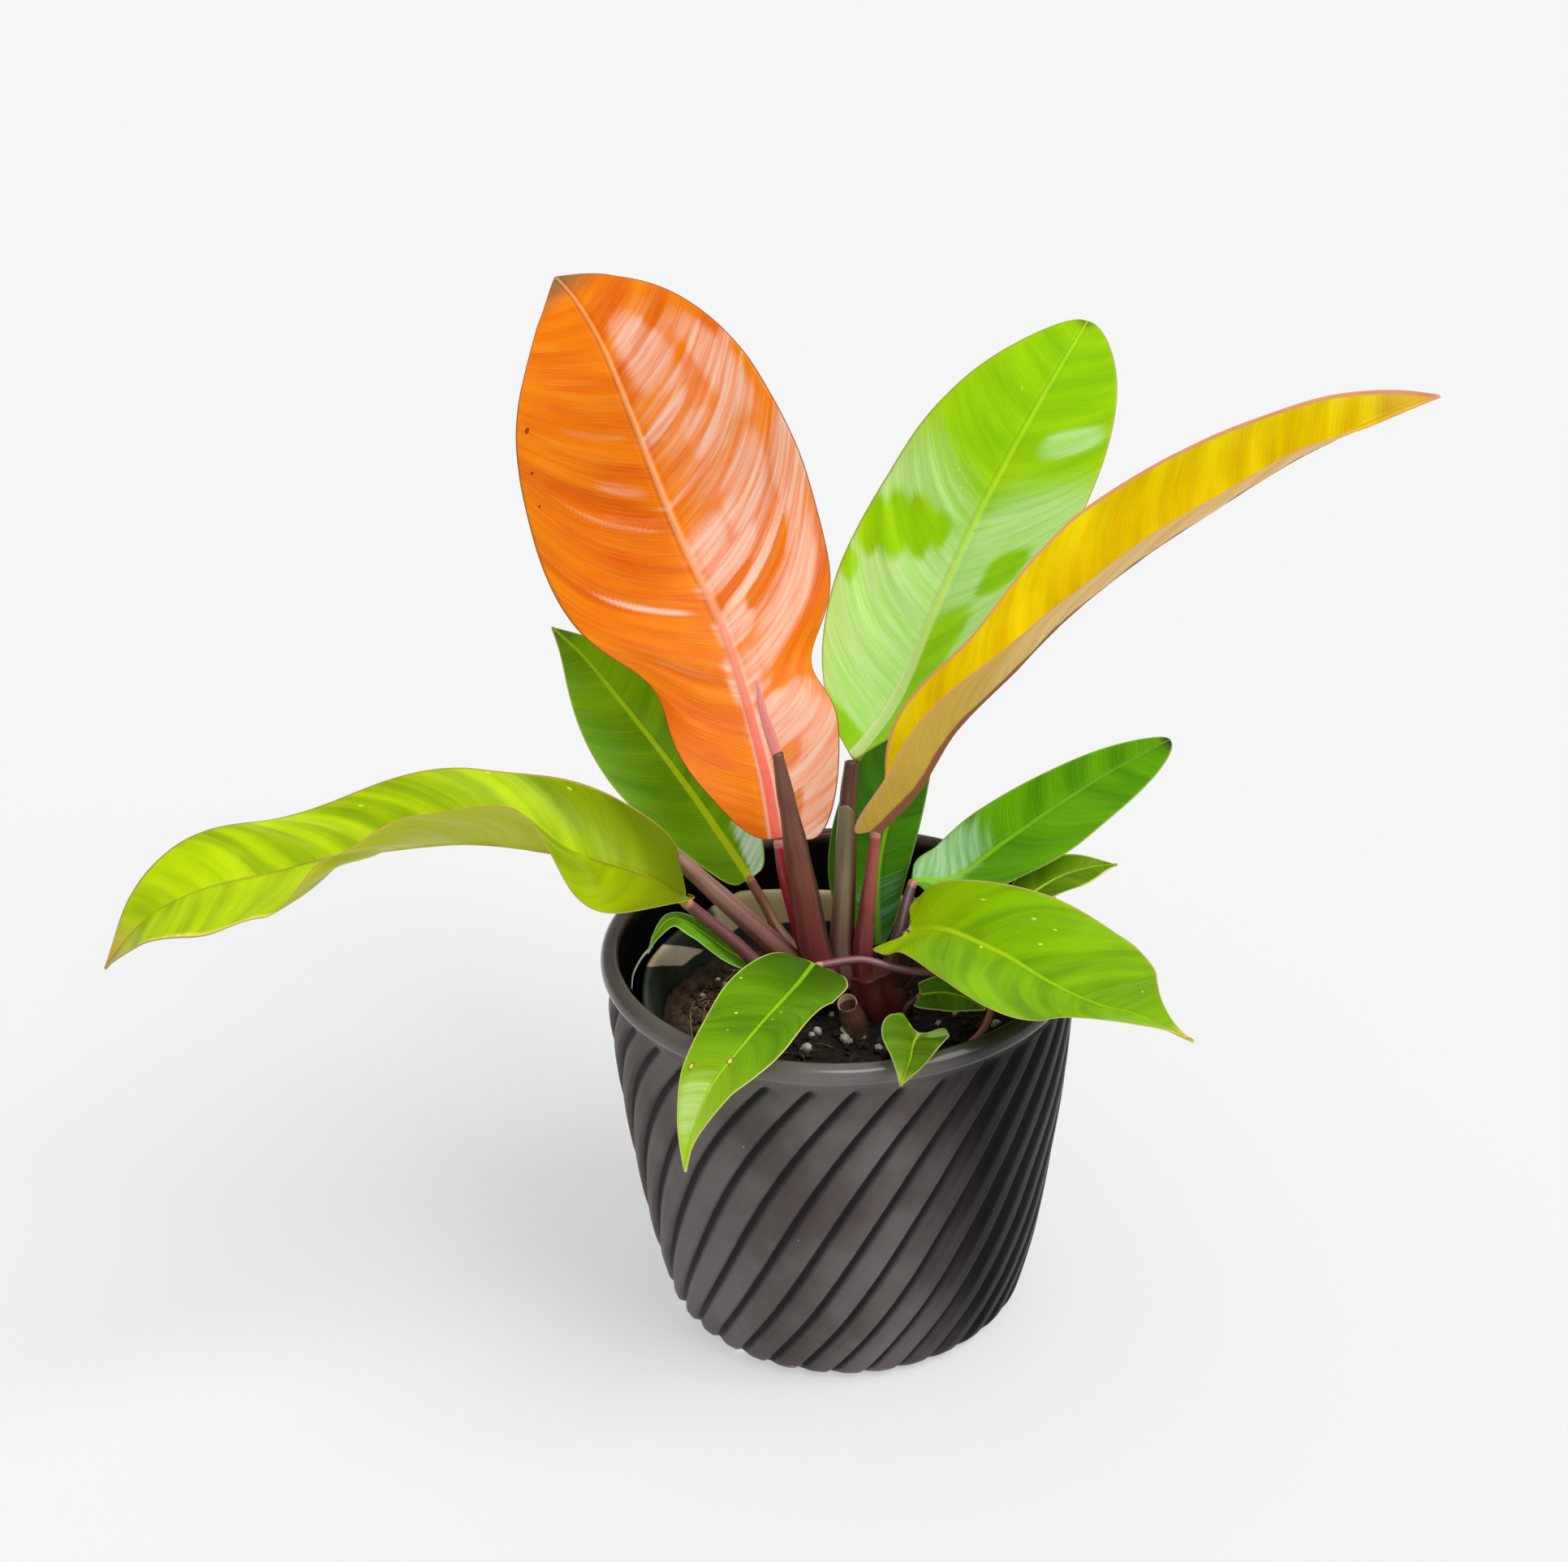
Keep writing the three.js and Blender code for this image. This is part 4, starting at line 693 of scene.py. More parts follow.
stalks = {
    "crown": dict(path=[[14, 5, 97], [13.5, 6, 108], [11, 7, 119]], radii=[8, 9.6, 7.6], top=(128, 40, 46),
                  foot=(116, 44, 46), streak=(166, 92, 92), ringLength=0, lobes=(5, 0.1), sides=60,
                  slot="crown_red"),
    "petiole_green": dict(path=[[6, 33, 185], [4.5, 29, 176], [3.5, 23, 166], [3, 19, 157], [2.6, 16, 149]],
                          radii=[2.6, 2.8, 2.8, 2.2], top=(92, 52, 24), foot=(104, 56, 44), ringLength=0),
    "new_leaf_roll": dict(path=[[-25, 9, 228], [-23, 8, 217], [-20.5, 7, 208], [-18, 6, 198],
                                [-16.5, 6, 190]],
                          radii=[0.5, 1.2, 1.6, 1.5, 1.2], top=(255, 150, 146), foot=(246, 126, 130),
                          streak=(252, 176, 168), ringLength=0, keels=[(60, 26, 0.4, 0, 1)],
                          slot="pink_roll"),
    "new_leaf_sheath": dict(path=[[-19, 6, 203], [-17, 6, 190], [-14, 6, 170], [-11, 5, 150], [-8, 4, 130],
                                  [-3, 3, 113]], radii=[1.9, 3, 4.1, 4.8, 5.3, 5.4], top=(122, 70, 56),
                            foot=(148, 66, 64), streak=(160, 90, 80), ringLength=0,
                            keels=[(-38, 16, 0.16, 0.02, 1), (150, 20, 0.12, 0, 1)], dark=(-90, (70, 36, 32)),
                            slot="brown_sheath", rows=120, sides=48),
    "sheath_green": dict(path=[[4, 23, 170], [3, 19, 157], [2, 14, 144], [1, 10, 126], [3, 8, 113]],
                         radii=[3.4, 3.7, 3.9, 4.1, 4.1], top=(146, 134, 100), foot=(130, 84, 78),
                         streak=(182, 160, 136), ringLength=0, mouth=(6, 0.5, 4.5, 200),
                         dark=(-80, (96, 52, 40)), slot="olive_sheath", sides=40),
    "petiole_yellow": dict(path=[[13, 14, 169], [12, 13, 160], [10, 10, 145], [8, 8, 128], [8, 6, 114]],
                           radii=[1.8, 2.1, 2.7, 3.4, 3.6], top=(186, 84, 84), foot=(116, 44, 48),
                           streak=(206, 110, 108)),
    "petiole_orange": dict(path=[[-19.5, 16, 165], [-17.5, 13, 152], [-14, 10, 138], [-10, 8, 125],
                                 [-2, 6, 112]],
                           radii=[1.8, 2.2, 2.6, 3, 3], top=(186, 30, 52), foot=(130, 12, 26),
                           streak=(200, 50, 70), rough=0.18, slot="crimson_stalk"),
    "sheath_left": dict(path=[[-58, 8.5, 171.2], [-53, 8.2, 164.4], [-46, 7.5, 156.7], [-35, 6, 145.5],
                              [-22, 5, 132], [-6, 5, 115]], radii=[1.6, 2.9, 3.4, 3.6, 3.7, 3.7],
                        top=(158, 116, 100), foot=(122, 58, 54), streak=(180, 134, 118), ringLength=0,
                        hollow=(150, 0.45), slot="brown_sheath", rows=120, sides=48),
    "petiole_lime": dict(path=[[-51, 2, 151], [-45, 3, 144], [-34, 3, 133], [-24, 2, 122], [-8, 2, 110]],
                         radii=[2, 2.3, 2.5, 2.8, 3], top=(140, 82, 84), foot=(94, 56, 54),
                         streak=(156, 100, 102)),
    "petiole_back_left": dict(path=[[-30, 34, 141], [-25, 27, 135], [-19, 19, 127], [-6, 11, 114]],
                              radii=[1.7, 1.9, 2.1, 2.4], top=(150, 84, 44), foot=(104, 76, 36),
                              streak=(176, 120, 80), slot="tan_scale"),
    "petiole_right": dict(path=[[26, 25, 143], [24, 21.5, 138.5], [21, 15, 130], [16, 9, 116]],
                          radii=[1.8, 2, 2.6, 3], top=(120, 92, 96), foot=(96, 60, 60)),
    "petiole_right_front": dict(path=[[23, 4, 135], [22, 4, 129], [20, 4, 121], [17, 4, 113]],
                                radii=[1.8, 2.2, 3, 3.6], top=(110, 60, 62), foot=(80, 32, 36)),
    "stem_front": dict(path=[[-8, -20, 138], [6, -16, 137.5], [16, -16, 134.5], [25, -18, 133.5],
                             [33, -20, 134], [44, -28, 133], [48, -34, 131], [47, -37, 126],
                             [44, -38, 121], [39, -37, 114], [34, -34, 101]],
                       radii=[1.4, 1.4], top=(126, 72, 80), foot=(216, 140, 134),
                       streak=(186, 136, 146), rows=160, sides=16),
    "petiole_right_small": dict(path=[[60, 17, 137], [46, 14, 131], [32, 10, 122], [20, 7, 110]],
                                radii=[1.1, 1.2, 1.4, 1.7], sides=16),
    "petiole_inner_left": dict(path=[[-30, 8, 122], [-20, 8.5, 116], [-1, 7, 109]], radii=[1, 1.2, 1.4],
                               sides=16),
    "inner_left_thread": dict(path=[[-62.5, -3, 137], [-66, -5, 134], [-69, -7, 129], [-69.8, -8, 124]],
                              stands=[], radii=[0.45, 0.35, 0.25], rows=30, sides=8, top=(214, 220, 204),
                              foot=(232, 232, 224), streak=(236, 236, 230), ringLength=0, slot="green_leaf"),
    "petiole_heart": dict(path=[[23, -58, 134.5], [22, -49, 128], [18, -34, 117], [13, -20, 101]],
                          radii=[0.9, 0.9, 1.1, 1.4], sides=16),
    "petiole_low": dict(path=[[27, -1, 114], [22.5, -3, 111], [21, -4, 107], [20, -6, 101]],
                        radii=[0.9, 1.1, 1.3], sides=16, top=(110, 84, 50), foot=(90, 60, 40)),
    "scale_front": dict(path=[[2, -8, 116], [4, -8, 109], [6, -8, 100]], radii=[3.4, 4.6, 4.6],
                        top=(128, 84, 68), foot=(96, 64, 44), streak=(170, 132, 108), ringLength=0.8,
                        ring=(230, 206, 180), mouth=(5, 0.4, 1.5, 0), slot="tan_scale", sides=36),
}


def stalkFinish(name, look):
    # colour runs from the blade end to the foot, with long streaks, a pale ring at the joint, and painted
    # shade on one side and in the hollow where the stalk has them
    material, s, shader = newFinish(name, look["rough"], Coat_Weight=0.15, Coat_Roughness=0.2,
                                    Subsurface_Weight=0.08, Subsurface_Scale=0.001)
    stalk = s.mark("stalk").outputs["Vector"]
    parts = s.split(stalk)
    along, far = parts[0], parts[2]
    shade = s.mark("shade").outputs["Fac"]
    marks = s.use(groups["stalk"], Stalk=stalk, Count=10.0)
    colour = s.blend(s.span(along, 0.0, 1.0), look["top"], look["foot"])
    colour = s.over(colour, look["streak"], marks["Streaks"], 0.4)
    deeper = s.mix(0.5, colour, paint(*look["foot"]), "MULTIPLY")
    colour = s.mix(s.times(s.drift(s.here(), 60.0), 0.35), colour, deeper)
    # painted shade where the shade mark is: on the dark side and in the hollow
    if "dark" in look:
        colour = s.over(colour, look["dark"][1], shade)
    if "hollow" in look:
        colour = s.over(colour, (46, 32, 26), shade)
    if look["ringLength"]:
        ring = s.span(far, look["ringLength"] * 1.3, look["ringLength"] * 0.6)
        colour = s.over(colour, look["ring"], ring, 0.9)
    colour = s.over(colour, look["streak"], s.flecks(s.here(), 260.0, 0.12, 0.05), 0.4)
    s.put(shader["Base Color"], colour)
    s.put(shader["Roughness"], s.plus(look["rough"] - 0.06, s.times(marks["Streaks"], 0.14)))
    s.put(shader["Normal"], s.bump(marks["Ribbing"], 0.35, 0.0003))
    return material


def makeStalk(name, spec, seed):
    # A stalk is a ring of radius r(distance) carried along its path, with a domed top and a drawn-in foot.
    # Keels swell the ring near an angle, lobes by a cosine, and a hollow sinks it. A mouth folds the first
    # rings back down inside, cut at a slant.
    look = {**stalkLook, **spec}
    path = pathThrough(look["path"])
    length = path[2][-1]
    rows, sides = look["rows"], look["sides"]
    t = np.linspace(0, 1, rows)
    phi = roundTurn(sides)
    radius = spread(look["radii"], t)
    distance = t * length
    if look["mouth"]:
        depth, wall = look["mouth"][:2]
        inside = np.linspace(depth, 0, 14)
        edge = radius[0] - wall * np.r_[np.ones(14), 0.7, 0.2]
        distance = np.r_[inside, 0, 0, distance[1:]]
        radius = np.r_[edge, radius[1:]]
    else:
        dome = np.array([0.35, 0.7, 0.93])
        distance = np.r_[-radius[0] * np.sqrt(1 - dome**2) * 0.5, distance]
        radius = np.r_[radius[0] * dome, radius]
    distance = np.r_[distance, length + 0.4]
    radius = np.r_[radius, radius[-1] * 0.6]
    t = np.clip(distance / length, 0, 1)
    grid = np.repeat(radius[:, None], sides, 1)
    shade = np.zeros_like(grid)
    turned = lambda angle: np.abs((np.degrees(phi) - angle + 180) % 360 - 180)
    for angle, wide, height, start, end in look["keels"]:
        window = smooth((t - start) / 0.06 + 1) * smooth((end - t) / 0.2 + 1)
        grid *= 1 + height * np.exp(-((turned(angle) / wide) ** 2))[None] * window[:, None]
    if look["lobes"]:
        grid *= 1 + look["lobes"][1] * np.cos(look["lobes"][0] * phi + 0.6 + 1.2 * t[:, None])
    if "hollow" in look:
        angle, reach = look["hollow"]
        cut = np.exp(-((turned(angle) / 34) ** 4))[None] * smooth((reach - t) / reach * 1.4)[:, None]
        # the shade mark takes the hollow's painted shade
        grid, shade = grid * (1 - 0.62 * cut), smooth(cut * 1.6)
    # painted shade on one side, centred on the dark angle
    if "dark" in look:
        shade = np.repeat(smooth(1.6 - turned(look["dark"][0]) / 44)[None], len(t), 0)
    grid *= 1 + 0.02 * ripples(polar(3.0, phi[None], distance[:, None] * 0.1), 2.5, seed)
    along = np.repeat(distance[:, None], sides, 1)
    if look["mouth"]:
        slant = look["mouth"][2] * np.cos(phi - math.radians(look["mouth"][3]))
        along = along + slant[None] * smooth(1.2 - distance / length * 3)[:, None]
    centre, heading = readPath(path, along)
    a = squareTo(np.array([0, -1, 0.35]), heading)  # angles run from the side that faces the front
    b = np.cross(heading, a)
    ring = a * np.cos(phi)[None, :, None] + b * np.sin(phi)[None, :, None]
    points = (centre + ring * grid[..., None]).reshape(-1, 3)
    count = len(t)
    points = np.concatenate([points, [points[:sides].mean(0), points[-sides:].mean(0)]])
    marks = {"stalk": np.stack([np.repeat(t, sides), np.tile(phi / (2 * math.pi), count), along.ravel()], -1),
             "shade": shade.ravel()}
    tail = {"stalk": [[0, 0, distance[0]], [1, 0, length]], "shade": [0, 0]}
    marks = {key: np.concatenate([values, tail[key]]) for key, values in marks.items()}
    makePiece(name + "_skin", points, tubeFaces(count, sides), stalkFinish(name + "Finish", look),
              look.get("stands", [name]), marks)


for number, (name, spec) in enumerate(stalks.items()):
    makeStalk(name, spec, 50 + number)
print("stalks made:", len(stalks))


# cachepot

# Outline points are [radius, height]. The flutes fade out at their top and keep a share of their depth at the
# foot; the lip's last rows, from its crown down the inner wall, carry the painted shade of the inside.
pot = dict(side=[[56, 0], [59.8, 1.6], [62.3, 5], [64.2, 12], [67.6, 27], [70.8, 46], [73.7, 68], [76.4, 90],
                 [78, 112], [78.3, 121], [78.4, 128.6]],
           lip=[[78.7, 129.8], [79.7, 130.8], [80, 132.6], [79.4, 134.8], [77.8, 136.2], [76, 136.5],
                [74.4, 135.4], [73.8, 131], [72.4, 105], [61, 20], [54, 9]],
           foot=[[20, 1.2], [46, 1.2], [50, 0.9], [53, 0]],
           ribs=34, samples=18, depth=2.1, start=7.7, turn=0.4, sweep=0.29, steepest=68, reach=64, rows=120,
           ribTop=129.4, topFade=4.5, footShare=0.45, footFade=9, lipRows=70, insideRows=54, lipTop=136.6)
# The colours for the right are painted shade, left is a painted brown reflection at the left edge, groove is
# painted shade in the grooves and inside is painted shade inside the pot.
glaze = dict(deep=(86, 77, 76), light=(112, 106, 105), right=(16, 13, 11), farRightShade=(15, 11, 9),
             left=(58, 42, 34), groove=(26, 20, 18), crestTint=(112, 106, 102), speck=(170, 160, 148),
             chip=(228, 226, 222), inside=(20, 18, 17))


def potFinish():
    # charcoal glaze with painted shade towards the right, a painted brown reflection at the left edge,
    # painted shade in the grooves, paler crests, a few specks, white chips at the foot, a glossy lip and
    # painted shade inside
    material, s, shader = newFinish("charcoalGlaze", 0.4, Coat_Roughness=0.16, Specular_IOR_Level=0.08)
    here = s.here()
    crest, inner = s.mark("crest").outputs["Fac"], s.mark("inner").outputs["Fac"]
    parts = s.split(here)
    x, z = parts[0], parts[2]
    patchy = s.drift(here, 30.0)
    grain = s.use(groups["grain"], Vector=here, Scale=1400.0)
    colour = s.blend(patchy, glaze["deep"], glaze["light"])
    # painted shade: darker towards the right side, darkest at the far right
    colour = s.over(colour, glaze["right"], s.span(x, 0.012, 0.046))
    colour = s.over(colour, glaze["farRightShade"], s.span(x, 0.052, 0.076))
    # painted brown reflection at the left edge
    colour = s.over(colour, glaze["left"], s.span(x, -0.052, -0.078, 0.0, 0.7))
    # painted shade in the grooves, where the crest mark is low
    colour = s.over(colour, glaze["groove"], s.span(crest, 0.62, 0.08, 0.0, 0.95))
    # a paler tint on the crests, broken up by the grain
    colour = s.over(colour, glaze["crestTint"], s.span(crest, 0.9, 1.0), s.times(grain["Fine"], 0.16))
    colour = s.over(colour, glaze["speck"], s.flecks(here, 120.0, 0.045, 0.03), 0.7)
    low = s.times(s.span(z, 0.006, 0.001), s.span(x, 0.0, -0.03))
    colour = s.over(colour, glaze["chip"], s.flecks(here, 210.0, 0.42, 0.45), low)
    # painted shade inside the pot, where the inner mark is
    s.put(shader["Base Color"], s.over(colour, glaze["inside"], inner))
    lip = s.span(z, 0.1292, 0.131)
    s.put(shader["Roughness"], s.plus(s.span(lip, 0.0, 1.0, 0.38, 0.2), s.times(patchy, 0.06)))
    s.put(shader["Coat Weight"], s.span(lip, 0.0, 1.0, 0.0, 0.6))
    s.put(shader["Normal"], s.bump(s.plus(s.times(grain["Fine"], 0.3), grain["Broad"]), 0.2, 0.0004))
    return material


def makePot():
    # Every ring of the side has radius R(z) - depth*(1 - section(u)), where u is the share of a rib's width:
    # a slow rise from the groove and a steep drop into the next. The turn grows with height as
    # start + turn*z + sweep*((z - steepest)^3 + steepest^3) / (3*reach^2), in degrees.
    count = pot["ribs"] * pot["samples"]
    foot, side, lip = (np.array([[r, 0, z] for r, z in pot[key]], float) for key in ("foot", "side", "lip"))
    wall, roll = pathThrough(side), pathThrough(np.vstack([side[-1], lip]))
    line = readPath(wall, wall[2][-1] * np.linspace(0, 1, pot["rows"]))[0]
    bend = readPath(roll, roll[2][-1] * np.linspace(0, 1, pot["lipRows"] + 1)[1:] ** 1.6)[0]
    profile = np.vstack([foot, line, bend])
    rows = len(profile)
    r, z = profile[:, :1], profile[:, 2:]
    outside = np.r_[np.zeros(len(foot)), np.ones(len(line)), np.zeros(len(bend))][:, None]
    fade = smooth((pot["ribTop"] - z) / pot["topFade"])
    fade = fade * np.minimum(1, pot["footShare"] + z / pot["footFade"])
    part = (np.arange(count) % pot["samples"]) / pot["samples"]
    u = 1 - (1 - part) ** 1.6
    angle = (np.arange(count) // pot["samples"] + u) / pot["ribs"] * 2 * math.pi
    groove = fade * outside * (1 - smooth(u / 0.55) ** 0.8 * smooth((1 - u) / 0.16) ** 0.7)
    up = np.clip(z, 0, 129)
    sweep = pot["sweep"] * ((up - pot["steepest"]) ** 3 + pot["steepest"] ** 3) / (3 * pot["reach"] ** 2)
    turn = angle + np.radians(pot["start"] + pot["turn"] * up + sweep)
    uneven = 0.12 * ripples(polar(70.0, turn, z), 40, 3) * outside
    points = polar(r - pot["depth"] * groove + uneven, turn, z).reshape(-1, 3)
    points = np.concatenate([points, [[0, 0, 1.2], [0, 0, 9]]])
    # the inner mark: painted shade inside, full from 5 mm below the lip top on the inside rows
    inner = smooth((pot["lipTop"] - z[:, 0]) / 5) * (np.arange(rows) >= rows - pot["insideRows"])
    marks = {"crest": np.r_[1 - groove.ravel(), 1, 1], "inner": np.r_[np.repeat(inner, count), 0, 1]}
    makePiece("cachepot_glazed", points, tubeFaces(rows, count), potFinish(),
              ["cachepot"], marks)


makePot()
print("cachepot made")


# nursery pot and potting mix

liner = dict(floor=9.4, rim=119.5, wall=1.2, foot=47, flare=13.8, spread=6, sag=0.7, crease=118,
             creaseWidth=15, creaseReach=8.3, sides=180)
# Turns are radians from +X and heights are metres: the painted lit sector at the back, a painted lit strip
# that leans, and the heights where the painted shade below takes over.
plastic = dict(damp=((40, 52, 46), (56, 66, 56)), lit=((224, 206, 176), (242, 228, 202)), spot=(80, 60, 44),
               backTurn=1.68, backHalf=(0.66, 0.5), stripTurn=2.62, stripHeight=0.112, stripLean=28.0,
               stripHalf=(0.15, 0.07), dampLine=(0.106, 0.11))
soil = dict(level=104, gap=0.3, rings=70, sides=220, crumbs=900, perlite=26, bark=70, threads=46, straws=30,
            damp=((17, 12, 9), (50, 36, 28)), crumb=((20, 14, 11), (74, 54, 40)),
            rooted=((70, 44, 24), (146, 108, 66)))


def linerRadius(angle, z):
    # wider towards the rim and from side to side, with one creased corner and a slight sag
    away = np.abs((np.degrees(angle) - liner["crease"] + 540) % 360 - 180)
    up = (z - liner["floor"]) / (liner["rim"] - liner["floor"])
    corner = liner["creaseReach"] * up**2 * np.exp(-((away / liner["creaseWidth"]) ** 1.3))
    oval = liner["spread"] * up * np.cos(angle) ** 2 + liner["sag"] * up * np.cos(3 * angle)
    return liner["foot"] + liner["flare"] * np.maximum(up, 0) ** 0.9 + corner + oval


def linerFinish():
    # thin cream plastic, in painted dark grey-green shade apart from a painted lit sector at the back and a
    # painted lit strip at the left that leans
    material, s, shader = newFinish("creamPlastic", 0.45, Subsurface_Weight=0.1, Subsurface_Scale=0.001)
    here = s.here()
    x, y, z = s.split(here)[:3]
    turn = s.math("ARCTAN2", y, x)
    back = s.span(s.math("ABSOLUTE", s.minus(turn, plastic["backTurn"])), *plastic["backHalf"])
    lean = s.times(s.minus(z, plastic["stripHeight"]), plastic["stripLean"])
    aside = s.math("ABSOLUTE", s.minus(turn, s.plus(plastic["stripTurn"], lean)))
    strip = s.span(aside, *plastic["stripHalf"])
    # painted light: the lit sector and the leaning strip, only above the heights where the painted shade
    # begins
    lit = s.times(s.math("MAXIMUM", back, strip), s.span(z, *plastic["dampLine"]))
    patchy = s.drift(here, 70.0)
    grain = s.use(groups["grain"], Vector=here, Scale=700.0)
    edge = s.plus(lit, s.times(s.minus(patchy, 0.5), 0.3))
    # the dark tones paint the shade and the cream ones the light
    damp, bright = s.blend(patchy, *plastic["damp"]), s.blend(patchy, *plastic["lit"])
    colour = s.mix(s.span(edge, 0.3, 0.7), damp, bright)
    s.put(shader["Base Color"], s.over(colour, plastic["spot"], s.flecks(here, 260.0, 0.2, 0.14), 0.6))
    s.put(shader["Roughness"], s.span(patchy, 0.0, 1.0, 0.4, 0.55))
    s.put(shader["Normal"], s.bump(grain["Broad"], 0.3, 0.0006))
    return material


def makeLiner():
    # rings of the liner's outline at each height, out to the rolled rim and back down inside
    floor, rim = liner["floor"], liner["rim"]
    outer = [[floor, 3], [floor + 0.8, 1], [floor + 2.5, 0]] + [[z, 0] for z in np.linspace(16, 113.5, 34)]
    edge = [[rim - 4.9, -0.2], [rim - 4.3, -0.9], [rim - 3.5, -1.2], [rim - 0.9, -1.2], [rim - 0.2, -0.9],
            [rim, -0.2], [rim - 0.1, 0.6]]
    inner = [[z, liner["wall"]] for z in np.linspace(118.6, 14, 44)]
    profile = np.array(outer + edge + inner + [[floor + 1.4, 3.4]])
    z, inset = profile[:, :1], profile[:, 1:]
    angle = roundTurn(liner["sides"])[None]
    dents = 0.25 * ripples(polar(60.0, angle, z), 26, 12) * smooth((z - 60) / 30)
    points = polar(linerRadius(angle, z) - inset + dents, angle, z).reshape(-1, 3)
    points = np.concatenate([points, [[0, 0, floor], [0, 0, floor + 1.4]]])
    makePiece("nursery_pot_shell", points, tubeFaces(len(profile), liner["sides"]), linerFinish(),
              ["nursery_pot"])


def soilHeight(x, y):
    # the level of the mix: slow waves, a root mound at the left and a dip in front
    return (soil["level"] + 1.3 * np.sin(x / 7 + 1) * np.cos(y / 6) + 0.8 * np.sin(x / 3.1 - y / 4.3)
            + 2.2 * np.exp(-(((x + 38) / 16) ** 2) - ((y - 8) / 20) ** 2)
            - 1.5 * np.exp(-((x / 60) ** 2) - ((y + 45) / 14) ** 2))


def rootBall(x, y):
    # how much the root ball at the left shows through, from 0 to 1
    return np.exp(-(((x + 43) / 13) ** 2) - ((y - 8) / 17) ** 2)


def soilFinish(name, dark, light, ball):
    # crumbly mix, near black when damp, light brown and fibrous over the root ball
    material, s, shader = newFinish(name, 0.9)
    here = s.here()
    grain = s.use(groups["grain"], Vector=here, Scale=2600.0)
    colour = s.blend(s.drift(here, 220.0), dark, light)
    if ball:
        fibrous = s.blend(s.drift(here, 420.0, 0.35, 0.65), *soil["rooted"])
        colour = s.mix(s.mark("rooted").outputs["Fac"], colour, fibrous)
    s.put(shader["Base Color"], s.over(colour, light, grain["Fine"], 0.35))
    s.put(shader["Normal"], s.bump(grain["Fine"], 0.6, 0.0008))
    return material


def makeSoil():
    # the plug's side follows the liner; its top is the height field with crumbs raised by short ripples
    inset = liner["wall"] + 3 * soil["gap"]
    angle = roundTurn(soil["sides"])[None]
    foot = liner["floor"] + 1.9
    low = np.array([[foot, 3.4], [liner["floor"] + 4, 0], [30, 0], [50, 0], [75, 0], [98, 0]])
    side = polar(linerRadius(angle, low[:, :1]) - inset - low[:, 1:], angle, low[:, :1])
    share = np.linspace(1, 0.02, soil["rings"])[:, None]
    flat = polar((linerRadius(angle, 103.0) - inset + soil["gap"]) * share, angle, 0.0)[..., :2]
    x, y = flat[..., 0], flat[..., 1]
    crumbs = 0.8 * ripples(flat, 6, 21) + 0.55 * np.abs(ripples(flat, 2.6, 22))
    crumbs = crumbs + 0.35 * ripples(flat, 1.3, 23) - 1.6 * smooth(share * 12 - 11)  # and down at the edge
    top = np.stack([x, y, soilHeight(x, y) + crumbs], -1)
    points = np.concatenate([side.reshape(-1, 3), top.reshape(-1, 3), [[0, 0, foot], [0, 0, soil["level"]]]])
    rooted = np.clip(rootBall(points[:, 0], points[:, 1]) * 1.3, 0, 1)
    makePiece("potting_mix_top", points, tubeFaces(len(low) + soil["rings"], soil["sides"]),
              soilFinish("dampMix", *soil["damp"], True), ["potting_mix"], {"rooted": rooted})


def lumpShape():
    # twelve corners and twenty faces of a rounded lump
    t = (1 + math.sqrt(5)) / 2
    corners = [[-1, t, 0], [1, t, 0], [-1, -t, 0], [1, -t, 0], [0, -1, t], [0, 1, t], [0, -1, -t], [0, 1, -t],
               [t, 0, -1], [t, 0, 1], [-t, 0, -1], [-t, 0, 1]]
    faces = [[0, 11, 5], [0, 5, 1], [0, 1, 7], [0, 7, 10], [0, 10, 11], [1, 5, 9], [5, 11, 4], [11, 10, 2],
             [10, 7, 6], [7, 1, 8], [3, 9, 4], [3, 4, 2], [3, 2, 6], [3, 6, 8], [3, 8, 9], [4, 9, 5],
             [2, 4, 11], [6, 2, 10], [8, 6, 7], [9, 8, 1]]
    return unit(np.array(corners, float)), np.array(faces)


def scatter(rng, count, low=6.0, high=54.0):
    # places on the mix between two distances from its middle, clear of the liner
    angle = rng.random(count) * 2 * math.pi
    reach = np.sqrt(rng.random(count) * (high**2 - low**2) + low**2)
    reach = np.minimum(reach, linerRadius(angle, 104.0) - 5)
    return reach * np.cos(angle), reach * np.sin(angle)


